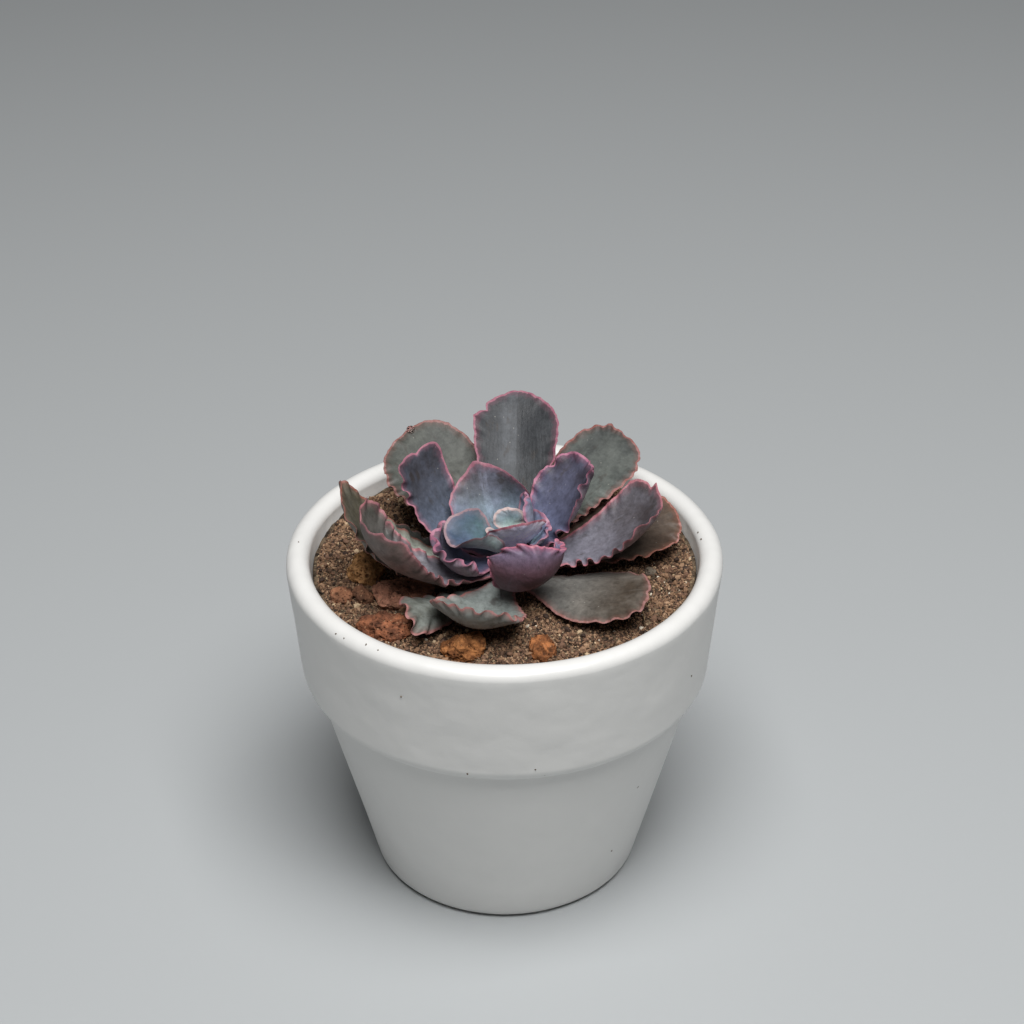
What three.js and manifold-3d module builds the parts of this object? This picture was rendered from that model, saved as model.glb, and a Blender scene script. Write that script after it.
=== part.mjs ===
// A ruffled rosette succulent in a round ceramic pot with a thick collar.
// Millimetres, +Z up. The pot stands on z = 0 with its axis on x = y = 0, and the front is -Y.
// The pot, the soil, each stone, the stem and each leaf are separate closed solids.

import * as THREE from 'three';
import { ParametricGeometry } from 'three/addons/geometries/ParametricGeometry.js';
import { mergeGeometries, mergeVertices } from 'three/addons/utils/BufferGeometryUtils.js';
import Module from 'manifold-3d';

const wasm = await Module();
wasm.setup();

// ---------------------------------------------------------------- driving sizes

const POT = {
  height: 84,
  rimRadius: 50,
  collarHeight: 32,
  collarFootRadius: 47.6,
  collarFootRounding: 4,
  waistRadius: 44.5,
  footRadius: 32,
  footRounding: 3.2,
  lipWidth: 5.4,
  lipHeight: 2.4,
  wall: 5.4,
  floor: 7,
  drainRadius: 6,
};

const SOIL = {
  headroom: 4.4,
  mound: 0.6,
  ripple: 0.3,
};

const PLANT = {
  offsetX: 2,
  offsetY: -9,
  rimGap: 3.1,
};

const STEM = {
  depth: 14,
  shoulder: 4.5,
  height: 12,
  girth: 4.6,
  crown: 1.2,
};

// The leaf and stone tables are given for a rosette with this reach, and are scaled to fit the pot's mouth.
const TABLE_REACH = 41.5;

const CLEARANCE = 0.3;
const ROUND_SEGMENTS = 56;
const ARC_STEPS = 4;

// A leaf's ribs leave its midrib up to this share of its length, closer together towards the tip.
const RIB_END = 0.84;
const RIB_SPREAD = 1.4;

// How late a leaf thins towards its margin, and the length up to which a leaf gets the coarser grid.
const THINNING = 3;
const SMALL_LEAF = 18;

const LARGE_STONE = 3;

// ---------------------------------------------------------------- small helpers

const radians = THREE.MathUtils.degToRad;
const blend = THREE.MathUtils.lerp;

// Points of an elliptic arc from one angle to another, in degrees, as profile points (radius, height).
function arc(centreR, centreZ, halfWidth, halfHeight, from, to, steps = ARC_STEPS) {
  const points = [];
  for (let i = 0; i <= steps; i += 1) {
    const angle = radians(blend(from, to, i / steps));
    points.push(new THREE.Vector2(centreR + halfWidth * Math.cos(angle), centreZ + halfHeight * Math.sin(angle)));
  }
  return points;
}

// A lathe about +Z. The profile runs so that the solid lies on its left.
function latheZ(profile, segments = ROUND_SEGMENTS) {
  return new THREE.LatheGeometry(profile, segments).rotateX(Math.PI / 2);
}

function toSolid(geometry) {
  const bare = geometry.clone();
  bare.deleteAttribute('normal');
  bare.deleteAttribute('uv');
  const merged = mergeVertices(bare, 1e-4);
  return new wasm.Manifold(new wasm.Mesh({
    numProp: 3,
    vertProperties: new Float32Array(merged.attributes.position.array),
    triVerts: new Uint32Array(merged.index.array),
  }));
}

function toGeometry(solid) {
  const { vertProperties, triVerts } = solid.getMesh();
  const geometry = new THREE.BufferGeometry();
  geometry.setAttribute('position', new THREE.BufferAttribute(new Float32Array(vertProperties), 3));
  geometry.setIndex(new THREE.BufferAttribute(new Uint32Array(triVerts), 1));
  geometry.computeVertexNormals();
  return geometry;
}

function namedMesh(name, geometry, color, roughness) {
  const mesh = new THREE.Mesh(geometry, new THREE.MeshStandardMaterial({ color, roughness, metalness: 0 }));
  mesh.name = name;
  return mesh;
}

// ---------------------------------------------------------------- pot

const collarFoot = POT.height - POT.collarHeight;
const mouthRadius = POT.rimRadius - POT.lipWidth;
const soilTop = POT.height - SOIL.headroom;

// Inner radius of the wall at a height: one cone from the floor up to the collar's foot, and a steeper one
// through the collar.
function innerRadius(z) {
  const floorRadius = POT.footRadius - POT.wall;
  const shoulderRadius = POT.waistRadius - POT.wall;
  if (z < collarFoot) {
    return blend(floorRadius, shoulderRadius, (z - POT.floor) / (collarFoot - POT.floor));
  }
  return blend(shoulderRadius, mouthRadius, (z - collarFoot) / (POT.height - POT.lipHeight - collarFoot));
}

function potGeometry() {
  const halfLip = POT.lipWidth / 2;
  const lipFoot = POT.height - POT.lipHeight;
  const foot = POT.footRounding;
  const collar = POT.collarFootRounding;
  const profile = [
    new THREE.Vector2(POT.drainRadius, 0),
    ...arc(POT.footRadius - foot, foot, foot, foot, -90, -8),
    new THREE.Vector2(POT.waistRadius, collarFoot),
    ...arc(POT.collarFootRadius - collar, collarFoot + collar, collar, collar, -70, 0),
    ...arc(POT.rimRadius - halfLip, lipFoot, halfLip, POT.lipHeight, 0, 180, 2 * ARC_STEPS),
    new THREE.Vector2(innerRadius(collarFoot), collarFoot),
    new THREE.Vector2(innerRadius(POT.floor), POT.floor),
    new THREE.Vector2(POT.drainRadius, POT.floor),
    new THREE.Vector2(POT.drainRadius, 0),
  ];
  return latheZ(profile);
}

// ---------------------------------------------------------------- frame of the planting

const plantScale = (mouthRadius - PLANT.rimGap) / TABLE_REACH;
const stemX = PLANT.offsetX * plantScale;
const stemY = PLANT.offsetY * plantScale;

// Height of the soil surface: a low mound round the stem and slow ripples.
function soilHeight(x, y) {
  const fromStem = Math.hypot(x - stemX, y - stemY) / (0.4 * mouthRadius);
  const mound = SOIL.mound * Math.exp(-fromStem * fromStem);
  const slow = Math.sin(x * 0.31 + 1.2) * Math.cos(y * 0.27);
  const cross = Math.sin(y * 0.45 + x * 0.12);
  return soilTop + mound + SOIL.ripple * (slow + cross);
}

// ---------------------------------------------------------------- stones

// Each stone: its middle (x, y), how far that stands above the soil level, its three half-axes,
// a turn about Z, a tilt about X, and the seed of its lumps.
const STONES = [
  {
    name: 'stone_big_red', at: [-22.4, -15.9], rise: 1.3, half: [7.4, 5, 3.3],
    turn: 8, tilt: 6, seed: 3, color: 0x9a5a3a,
  },
  {
    name: 'stone_brown_orange', at: [-31.6, -4.6], rise: 1.2, half: [4.9, 4.8, 3.4],
    turn: 30, tilt: -8, seed: 7, color: 0xa06a3e,
  },
  {
    name: 'stone_left_outer', at: [-37, -14.6], rise: 0.4, half: [2.6, 3.1, 2.3],
    turn: 0, tilt: 0, seed: 11, color: 0x9c6544,
  },
  {
    name: 'stone_left_inner', at: [-32.1, -14.1], rise: 0.3, half: [2.3, 3.1, 2.3],
    turn: 40, tilt: 10, seed: 13, color: 0x96603e,
  },
  {
    name: 'stone_orange_flat', at: [-26, -27.4], rise: 0.9, half: [6.5, 4.3, 3.2],
    turn: -12, tilt: 8, seed: 17, color: 0xb26a43,
  },
  {
    name: 'stone_orange_square', at: [-9.2, -36], rise: 0.9, half: [5.3, 4.2, 3.2],
    turn: 4, tilt: -6, seed: 19, color: 0xa9673c,
  },
  {
    name: 'stone_orange_right', at: [8.2, -35.4], rise: 0.3, half: [2.8, 4.6, 2.8],
    turn: 12, tilt: 4, seed: 23, color: 0xab6a40,
  },
  {
    name: 'pebble_pale', at: [33.2, -5.2], rise: 0.4, half: [1.6, 1.5, 1.3],
    turn: 20, tilt: 0, seed: 29, color: 0x8c7f6f,
  },
];

// A lumpy rock: slow waves over a ball, made squarer by a soft power of its directions.
function stoneGeometry(stone, grow) {
  const detail = stone.half[0] > LARGE_STONE ? 2 : 1;
  const rock = new THREE.IcosahedronGeometry(1, detail);
  const position = rock.attributes.position;
  const axes = stone.half.map((half) => half * plantScale + grow);
  const point = new THREE.Vector3();
  for (let i = 0; i < position.count; i += 1) {
    point.fromBufferAttribute(position, i);
    const waves = Math.sin(3.1 * point.x + stone.seed) + Math.sin(2.7 * point.y + 1.7 * stone.seed)
      + Math.sin(3.5 * point.z + 2.3 * stone.seed);
    const corners = Math.abs(point.x) ** 4 + Math.abs(point.y) ** 4 + Math.abs(point.z) ** 4;
    point.multiplyScalar((0.93 + 0.045 * waves) / corners ** 0.14);
    position.setXYZ(i, point.x * axes[0], point.y * axes[1], point.z * axes[2]);
  }
  rock.rotateX(radians(stone.tilt));
  rock.rotateZ(radians(stone.turn));
  const [x, y] = stone.at.map((place) => place * plantScale);
  return rock.translate(x, y, soilTop + stone.rise * plantScale);
}

// ---------------------------------------------------------------- stem

function stemGeometry(grow) {
  const top = STEM.height * plantScale + grow;
  const girth = STEM.girth * plantScale + grow;
  const crown = STEM.crown * plantScale + grow;
  const profile = [
    new THREE.Vector2(0, -STEM.depth - grow),
    new THREE.Vector2(girth * 0.7, -STEM.depth - grow),
    new THREE.Vector2(girth, 0),
    new THREE.Vector2(girth, STEM.shoulder * plantScale),
    new THREE.Vector2(blend(girth, crown, 0.45), blend(STEM.shoulder * plantScale, top, 0.55)),
    new THREE.Vector2(crown, top - 0.5),
    new THREE.Vector2(0, top),
  ];
  return latheZ(profile, 24).translate(stemX, stemY, soilTop);
}

// ---------------------------------------------------------------- soil

// The bed fills the pot's inside, CLEARANCE away from its wall and floor. Its surface is cut for the
// stem and the stones.
function soilGeometry(pockets) {
  const rings = 7;
  const segments = 40;
  const bottom = POT.floor + CLEARANCE;
  const lowestEdge = soilTop - 2 * SOIL.ripple;
  const edge = innerRadius(lowestEdge) - CLEARANCE;
  const profile = [
    new THREE.Vector2(0, bottom),
    new THREE.Vector2(innerRadius(bottom) - CLEARANCE, bottom),
    new THREE.Vector2(innerRadius(collarFoot) - CLEARANCE, collarFoot),
  ];
  for (let i = 0; i <= rings; i += 1) {
    profile.push(new THREE.Vector2(edge * (1 - i / rings), soilTop));
  }
  const bed = latheZ(profile, segments);
  const position = bed.attributes.position;
  for (let i = 0; i < position.count; i += 1) {
    if (position.getZ(i) > soilTop - 0.01) {
      position.setZ(i, soilHeight(position.getX(i), position.getY(i)));
    }
  }
  let solid = toSolid(bed);
  for (const pocket of pockets) {
    solid = solid.subtract(toSolid(pocket));
  }
  return toGeometry(solid);
}

// ---------------------------------------------------------------- leaves

// A leaf is a flat blade bent in space. All angles are in degrees.
// azimuth: where it points, seen from above, from +X round to +Y, and sweep: how that turns by the tip.
// seat: how far its foot is from the stem's axis, and how high above the soil.
// rise: its slope at the foot and at the tip, and bend: how late the slope changes.
// roll: its tilt about its own length at the foot and at the tip, left side up.
// cup: how far round an arc each half of the blade bends up.
// widest: where along the length it is widest. neck: the foot's width as a share of the blade's.
// square: 2 gives an elliptic end, and more a blunter one. skew: how far the end slants, left side forward.
const LEAVES = [
  // The outer whorl, from the back round to the right.
  {
    name: 'leaf_back', azimuth: 88, length: 40, width: 21.5, seat: [5.4, 6.8], rise: [30, 37], roll: [2, -7],
    cup: 24, widest: 0.74, neck: 0.3, square: 1.7, skew: 3, color: 0x666870,
  },
  {
    name: 'leaf_back_left', azimuth: 125, sweep: 4, length: 40, width: 24, seat: [5.8, 5.3], rise: [17, 26],
    roll: [5, -15], cup: 20, widest: 0.66, neck: 0.34, skew: -10, color: 0x6a6f62,
  },
  {
    name: 'leaf_left', azimuth: 181, sweep: 9, length: 41, width: 20.4, seat: [6, 3.8], rise: [-2, 71],
    bend: 1.1, roll: [-3, -5], cup: 22, widest: 0.72, neck: 0.34, square: 3, skew: -16, color: 0x6e7670,
  },
  {
    name: 'leaf_front_left_low', azimuth: 216, sweep: 19, length: 27.5, width: 12, seat: [5.8, 2],
    rise: [-3, 27], roll: [6, -26], cup: -24, widest: 0.85, neck: 0.28, square: 2.9, skew: 28,
    color: 0x7d8a86,
  },
  {
    name: 'leaf_front', azimuth: 246, sweep: 18, length: 31, width: 22.5, seat: [5.8, 3.6], rise: [-11, 75],
    bend: 1.6, roll: [-1, -6], cup: 38, widest: 0.57, neck: 0.3, square: 2.7, skew: -5, color: 0x7c8380,
  },
  {
    name: 'leaf_front_right', azimuth: -28, sweep: 6, length: 28.5, width: 21.5, seat: [5.5, 2.4],
    rise: [-3, 24], roll: [0, 2], cup: -8, widest: 0.54, neck: 0.38, square: 2.7, skew: -13, color: 0x73786a,
  },
  {
    name: 'leaf_right', azimuth: 26, sweep: -2, length: 36.5, width: 21, seat: [6, 3.4], rise: [6, 6],
    roll: [-3, 17], cup: 20, widest: 0.65, neck: 0.34, skew: 9, color: 0x726c5c,
  },
  {
    name: 'leaf_back_right', azimuth: 60, sweep: -14, length: 42, width: 19, seat: [5.9, 5], rise: [19, 16],
    roll: [-7, 17], cup: 12, widest: 0.72, neck: 0.28, skew: 6, color: 0x6d7266,
  },
  // Two old leaves low down, hardly or not seen from the front.
  {
    name: 'leaf_left_low', azimuth: 163, sweep: -2, length: 30, width: 13.5, seat: [5, 2], rise: [-4, 43],
    roll: [-2, 15], cup: 2, widest: 0.65, neck: 0.34, skew: 3, color: 0x75766a,
  },
  {
    name: 'leaf_back_low', azimuth: 71, length: 30, width: 17.5, seat: [6, 2], rise: [3, 12],
    roll: [6, 0], cup: 10, widest: 0.62, neck: 0.38, color: 0x6a7064,
  },
  // The middle whorl.
  {
    name: 'leaf_upper_left', azimuth: 204, length: 41, width: 21, seat: [5, 5.4], rise: [-3, 79], bend: 1.2,
    roll: [1, -3], cup: 78, widest: 0.85, neck: 0.35, square: 2.4, skew: -10, color: 0x77747e,
  },
  {
    name: 'leaf_upper_right', azimuth: 13, sweep: -16, length: 33, width: 22, seat: [5.6, 6.2],
    rise: [-4, 64], bend: 1.3, roll: [8, 4], cup: 58, widest: 0.85, neck: 0.33, skew: 4, color: 0x7f8590,
  },
  {
    name: 'leaf_inner_left', azimuth: 155, sweep: -6, length: 33, width: 16, seat: [4.2, 7.2],
    rise: [5, 88], roll: [-9, -4], cup: 26, widest: 0.67, neck: 0.29, square: 5, skew: -2, color: 0x6f6c86,
  },
  {
    name: 'leaf_inner_right', azimuth: 34, sweep: -13, length: 23.5, width: 22, seat: [5.2, 8.5],
    rise: [37, 63], roll: [4, -12], cup: 48, widest: 0.6, neck: 0.35, square: 3.2, skew: -6, color: 0x6e6b88,
  },
  {
    name: 'leaf_inner_front_left', azimuth: 206, sweep: -4, length: 17, width: 19.5, seat: [5.9, 7.6],
    rise: [-11, 75], roll: [-5, -4], cup: 70, widest: 0.73, neck: 0.25, square: 2.5, skew: -16,
    color: 0x8583a0,
  },
  {
    name: 'leaf_inner_back', azimuth: 121, sweep: -13, length: 19.5, width: 20.5, seat: [3.5, 9.2],
    rise: [24, 84], roll: [-5, -33], cup: 47, widest: 0.54, neck: 0.38, square: 1.8, skew: -12, color: 0x6f7896,
  },
  {
    name: 'leaf_inner_front', azimuth: 288, length: 23.5, width: 26.5, seat: [4.5, 7.6],
    rise: [-13, 131], bend: 1.3, roll: [23, -1], cup: 88, widest: 0.78, neck: 0.43, square: 2.4, skew: -17,
    color: 0x6e5a74,
  },
  // The young leaves of the centre.
  {
    name: 'leaf_small_right', azimuth: -7, sweep: 4, length: 6.5, width: 14, seat: [4.4, 11.1],
    rise: [51, 59], roll: [-2, 11], cup: 50, widest: 0.57, neck: 0.4, skew: 7, thickness: 1.1,
    color: 0x8a8fb0,
  },
  {
    name: 'leaf_small_left', azimuth: 200, sweep: 16, length: 14, width: 18, seat: [2.5, 10.4], rise: [34, 6],
    roll: [-10, 9], cup: 76, widest: 0.43, neck: 0.2, square: 2.7, skew: 5, thickness: 1.1, color: 0x7f96b4,
  },
  {
    name: 'leaf_small_front', azimuth: 283, length: 11, width: 15, seat: [1.6, 11.4], rise: [39, 81],
    roll: [3, 8], cup: 36, widest: 0.59, neck: 0.3, square: 2.1, skew: -3, thickness: 1.1, color: 0x7d7fa2,
  },
  {
    name: 'leaf_bud_right', azimuth: 39, sweep: -18, length: 11, width: 10, seat: [3.3, 11.5],
    rise: [55, 119], roll: [-4, -25], cup: 46, widest: 0.63, neck: 0.36, skew: -5, thickness: 1.1,
    color: 0x86a2a4,
  },
  {
    name: 'leaf_bud_back', azimuth: 105, sweep: -3, length: 6.5, width: 8, seat: [2, 12], rise: [55, 77],
    roll: [-2, -13], cup: 40, widest: 0.63, neck: 0.36, thickness: 1.1, color: 0x8aa79c,
  },
  {
    name: 'leaf_bud_centre', azimuth: 193, length: 5.5, width: 4, seat: [2.2, 11.9], rise: [41, 40],
    roll: [1, -5], cup: 48, widest: 0.62, neck: 0.36, skew: 3, thickness: 0.8, color: 0x9ab8a6,
  },
];

class Leaf {
  constructor(spec) {
    Object.assign(this, { sweep: 0, bend: 1, square: 2.3, skew: 0, thickness: 1.5, color: 0x6f7472 }, spec);
    this.length *= plantScale;
    this.halfWidth = (this.width / 2) * plantScale;
    this.thickness *= plantScale;
    this.margin = this.traceMargin();
    this.midrib = this.traceMidrib();
  }

  // Half of the blade's outline, from the tip to the foot, in the flat: x along the leaf and y across it.
  traceMargin() {
    const widestX = this.widest * this.length;
    const power = 2 / this.square;
    const steps = 24;
    const points = [];
    for (let i = 0; i <= steps; i += 1) {
      const angle = (i / steps) * (Math.PI / 2);
      const x = widestX + (this.length - widestX) * Math.max(Math.cos(angle), 0) ** power;
      points.push(new THREE.Vector2(x, this.halfWidth * Math.sin(angle) ** power));
    }
    for (let i = 1; i <= steps; i += 1) {
      const along = 1 - i / steps;
      const share = blend(this.neck, 1, Math.sin(along * (Math.PI / 2)) ** 1.6);
      points.push(new THREE.Vector2(widestX * along, this.halfWidth * share));
    }
    return new THREE.SplineCurve(points);
  }

  slopeAt(share) {
    const rise = blend(this.rise[0], this.rise[1], share ** this.bend);
    const azimuth = this.azimuth + this.sweep * share;
    return [radians(rise), radians(azimuth)];
  }

  // The midrib in space, as points at even steps along it and a little past the tip.
  traceMidrib() {
    const steps = 60;
    const beyond = 1.2;
    const foot = radians(this.azimuth);
    const [seatRadius, seatHeight] = this.seat.map((size) => size * plantScale);
    const point = new THREE.Vector3(
      stemX + seatRadius * Math.cos(foot),
      stemY + seatRadius * Math.sin(foot),
      soilTop + seatHeight,
    );
    const points = [point.clone()];
    for (let i = 0; i < steps; i += 1) {
      const [rise, azimuth] = this.slopeAt(((i + 0.5) / steps) * beyond);
      const step = (this.length * beyond) / steps;
      point.x += step * Math.cos(rise) * Math.cos(azimuth);
      point.y += step * Math.cos(rise) * Math.sin(azimuth);
      point.z += step * Math.sin(rise);
      points.push(point.clone());
    }
    return { points, perLength: steps / beyond };
  }

  // The place in space of a point (x, y) of the flat blade, raised by lift from its middle surface.
  bent(x, y, lift, target) {
    const share = x / this.length;
    const place = share * this.midrib.perLength;
    const index = Math.min(Math.floor(place), this.midrib.points.length - 2);
    const [rise, azimuth] = this.slopeAt(share);
    const along = new THREE.Vector3(
      Math.cos(rise) * Math.cos(azimuth),
      Math.cos(rise) * Math.sin(azimuth),
      Math.sin(rise),
    );
    const roll = radians(blend(this.roll[0], this.roll[1], share));
    const left = new THREE.Vector3(-Math.sin(azimuth), Math.cos(azimuth), 0).applyAxisAngle(along, roll);
    const up = along.clone().cross(left);
    const curve = radians(this.cup || 0.1) / this.halfWidth;
    const across = Math.sin(curve * y) / curve - lift * Math.sin(curve * y);
    const raised = (1 - Math.cos(curve * y)) / curve + lift * Math.cos(curve * y);
    target.lerpVectors(this.midrib.points[index], this.midrib.points[index + 1], place - index);
    target.addScaledVector(left, across).addScaledVector(up, raised);
  }

  // station runs from -1 at the right side of the foot over 0 at the tip to 1 at the left side of the foot,
  // and reach from 0 on the midrib to 1 on the margin. side is 1 on the upper face and -1 on the lower one.
  surface(station, reach, side, target) {
    const margin = this.margin.getPointAt(Math.abs(station));
    const footX = RIB_END * this.length * (1 - Math.abs(station) ** RIB_SPREAD);
    const y = margin.y * reach * Math.sign(station);
    const flatX = blend(footX, margin.x, reach);
    const x = flatX + Math.tan(radians(this.skew)) * y * (flatX / this.length) ** 2;
    const half = (this.thickness / 2) * Math.sqrt(1 - reach ** THINNING);
    this.bent(x, y, side * half, target);
  }

  geometry() {
    const fine = this.length > SMALL_LEAF;
    const slices = fine ? 22 : 16;
    const stacks = fine ? 6 : 4;
    const skin = new ParametricGeometry((u, v, target) => {
      const upper = v <= 0.5;
      this.surface(1 - 2 * u, upper ? 2 * v : 2 - 2 * v, upper ? 1 : -1, target);
    }, slices, stacks);
    const cap = new ParametricGeometry((u, v, target) => {
      this.surface(u < 0.5 ? 1 : -1, Math.abs(2 * u - 1), 2 * v - 1, target);
    }, stacks, 1);
    return mergeGeometries([skin, cap]);
  }
}

// ---------------------------------------------------------------- assembly

const group = new THREE.Group();
group.name = 'potted_succulent';
group.add(namedMesh('pot', potGeometry(), 0xdfe0e0, 0.28));

const pockets = [stemGeometry(CLEARANCE)];
for (const stone of STONES) {
  pockets.push(stoneGeometry(stone, CLEARANCE));
  group.add(namedMesh(stone.name, toGeometry(toSolid(stoneGeometry(stone, 0))), stone.color, 0.95));
}
group.add(namedMesh('soil', soilGeometry(pockets), 0x6b5a47, 1));
group.add(namedMesh('stem', stemGeometry(0), 0x7a6a50, 0.8));

const stemRoom = toSolid(stemGeometry(CLEARANCE));
for (const spec of LEAVES) {
  const leaf = new Leaf(spec);
  const solid = toSolid(leaf.geometry()).subtract(stemRoom);
  group.add(namedMesh(spec.name, toGeometry(solid), leaf.color, 0.55));
}

export default group;
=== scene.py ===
"""Looks of a potted frilled succulent: a glazed pot, gritty soil, porous stones and a ruffled rosette.

Every piece is worked out in millimetres, as a surface of two parameters, and set down in metres.
"""

import itertools
import logging
import math
from dataclasses import dataclass
from enum import Enum

import bpy
import numpy as np
from mathutils import Euler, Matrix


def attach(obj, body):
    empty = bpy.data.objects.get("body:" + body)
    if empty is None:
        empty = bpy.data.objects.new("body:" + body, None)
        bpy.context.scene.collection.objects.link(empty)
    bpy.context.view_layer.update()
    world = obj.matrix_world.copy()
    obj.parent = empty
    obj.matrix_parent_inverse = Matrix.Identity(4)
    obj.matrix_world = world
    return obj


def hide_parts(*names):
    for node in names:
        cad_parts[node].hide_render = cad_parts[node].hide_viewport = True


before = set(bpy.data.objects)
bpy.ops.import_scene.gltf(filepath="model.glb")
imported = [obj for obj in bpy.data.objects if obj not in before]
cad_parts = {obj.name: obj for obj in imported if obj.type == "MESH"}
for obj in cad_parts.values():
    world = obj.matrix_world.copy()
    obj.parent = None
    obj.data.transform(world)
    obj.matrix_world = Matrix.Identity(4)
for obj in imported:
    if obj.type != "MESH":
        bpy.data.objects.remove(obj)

LOG = logging.getLogger("succulent")
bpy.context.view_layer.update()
MM = 0.001
BODY = "root"

Triple = tuple[float, float, float]


# ---------------------------------------------------------------- numbers that vary over space


def cell_random(cells: np.ndarray, seed: int) -> np.ndarray:
    """Gives each whole-numbered cell its own fixed random number, by stirring its coordinates together.

    Args:
        cells: whole numbers, with the coordinates along the last axis.
        seed: picks another set of numbers.

    Returns:
        Numbers from 0 to 1, one for each cell.
    """
    stirred = np.full(cells.shape[:-1], seed + 1013, dtype=np.uint64)
    for axis in range(cells.shape[-1]):
        whole = cells[..., axis].astype(np.int64).astype(np.uint64)
        stirred = (stirred ^ (whole * np.uint64(0x9E3779B97F4A7C15))) * np.uint64(0xBF58476D1CE4E5B9)
        stirred = stirred ^ (stirred >> np.uint64(29))
    stirred = stirred * np.uint64(0x94D049BB133111EB)
    return (stirred >> np.uint64(40)).astype(float) / 2.0**24


def smooth_noise(points: np.ndarray, seed: int) -> np.ndarray:
    """Value noise: the random numbers at a cell's corners, blended by a smooth step along each axis.

    Args:
        points: places in cell units, with the coordinates along the last axis.
        seed: picks another pattern.

    Returns:
        Numbers from -1 to 1, one for each point.
    """
    base = np.floor(points)
    part = points - base
    part = part * part * (3.0 - 2.0 * part)
    total = np.zeros(points.shape[:-1])
    for corner in itertools.product((0, 1), repeat=points.shape[-1]):
        weight = np.prod(np.where(np.array(corner) == 1, part, 1.0 - part), axis=-1)
        total = total + weight * cell_random(base + np.array(corner), seed)
    return 2.0 * total - 1.0


def rough_noise(points: np.ndarray, seed: int, octaves: int = 3) -> np.ndarray:
    """Smooth noise summed over octaves, each twice as fine and half as strong as the last."""
    total = np.zeros(points.shape[:-1])
    for octave in range(octaves):
        total = total + smooth_noise(points * 2.0**octave, seed + 31 * octave) / 2.0**octave
    return total


def pit_distance(points: np.ndarray, seed: int) -> np.ndarray:
    """Distance to the nearest of the seeds scattered one to a cell, in cell units."""
    base = np.floor(points)
    nearest = np.full(points.shape[:-1], 9.0)
    for offset in itertools.product((-1, 0, 1), repeat=3):
        cell = base + np.array(offset)
        place = cell + np.stack([cell_random(cell, seed + 7 * axis) for axis in range(3)], axis=-1)
        nearest = np.minimum(nearest, np.linalg.norm(points - place, axis=-1))
    return nearest


def smooth_step(value: np.ndarray, low: float, high: float) -> np.ndarray:
    """Rises smoothly from 0 at low to 1 at high."""
    part = np.clip((value - low) / (high - low), 0.0, 1.0)
    return part * part * (3.0 - 2.0 * part)


# ---------------------------------------------------------------- meshes


def facing_out(points: np.ndarray, faces: list[np.ndarray]) -> list[np.ndarray]:
    """Turns a closed surface's faces over if the volume that they enclose comes out negative.

    Args:
        points: the vertices.
        faces: arrays of three-sided or four-sided faces.

    Returns:
        The same faces, pointing outwards.
    """
    volume = 0.0
    for block in faces:
        first = points[block[:, 0]]
        for k in range(1, block.shape[1] - 1):
            volume += float(np.einsum("ij,ij->", first, np.cross(points[block[:, k]], points[block[:, k + 1]])))
    return faces if volume > 0 else [block[:, ::-1] for block in faces]


def set_down(
    name: str,
    points: np.ndarray,
    faces: list[np.ndarray],
    material: bpy.types.Material,
    values: dict[str, np.ndarray] | None = None,
    smooth: bool = True,
) -> bpy.types.Object:
    """Makes a closed surface an object of the scene, riding on the part's one body.

    Args:
        name: the piece's name.
        points: the vertices in millimetres.
        faces: arrays of three-sided or four-sided faces.
        material: what it is made of.
        values: named numbers or vectors, one for each vertex, that its material reads.
        smooth: whether its faces are shaded as one curved surface.

    Returns:
        The new object, at the origin.
    """
    mesh = bpy.data.meshes.new(name)
    blocks = facing_out(points, [block for block in faces if len(block)])
    corners = np.concatenate([block.ravel() for block in blocks])
    sides = np.concatenate([np.full(len(block), block.shape[1]) for block in blocks])
    mesh.vertices.add(len(points))
    mesh.vertices.foreach_set("co", (points * MM).astype(np.float32).ravel())
    mesh.loops.add(len(corners))
    mesh.loops.foreach_set("vertex_index", corners.astype(np.int32))
    mesh.polygons.add(len(sides))
    mesh.polygons.foreach_set("loop_start", (np.cumsum(sides) - sides).astype(np.int32))
    mesh.polygons.foreach_set("use_smooth", np.full(len(sides), smooth))
    for key, data in (values or {}).items():
        kind = "FLOAT" if data.ndim == 1 else "FLOAT_VECTOR"
        layer = mesh.attributes.new(key, kind, "POINT")
        layer.data.foreach_set("value" if data.ndim == 1 else "vector", data.astype(np.float32).ravel())
    mesh.materials.append(material)
    mesh.update(calc_edges=True)
    piece = bpy.data.objects.new(name, mesh)
    bpy.context.scene.collection.objects.link(piece)
    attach(piece, BODY)
    return piece


def grid_faces(ids: np.ndarray) -> np.ndarray:
    """The four-sided faces between neighbouring entries of a table of vertex numbers."""
    return np.stack([ids[:-1, :-1], ids[1:, :-1], ids[1:, 1:], ids[:-1, 1:]], axis=-1).reshape(-1, 4)


def joined_round(ids: np.ndarray) -> np.ndarray:
    """Repeats a table's first column after its last, so that faces close round it."""
    return np.concatenate([ids, ids[:, :1]], axis=1)


def fan_faces(pole: int, ring: np.ndarray, flip: bool = False) -> np.ndarray:
    """The three-sided faces between a pole and each two neighbours of a ring, turned over by flip."""
    first, second = (ring[1:], ring[:-1]) if flip else (ring[:-1], ring[1:])
    return np.stack([np.full(len(first), pole), first, second], axis=-1)


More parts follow.
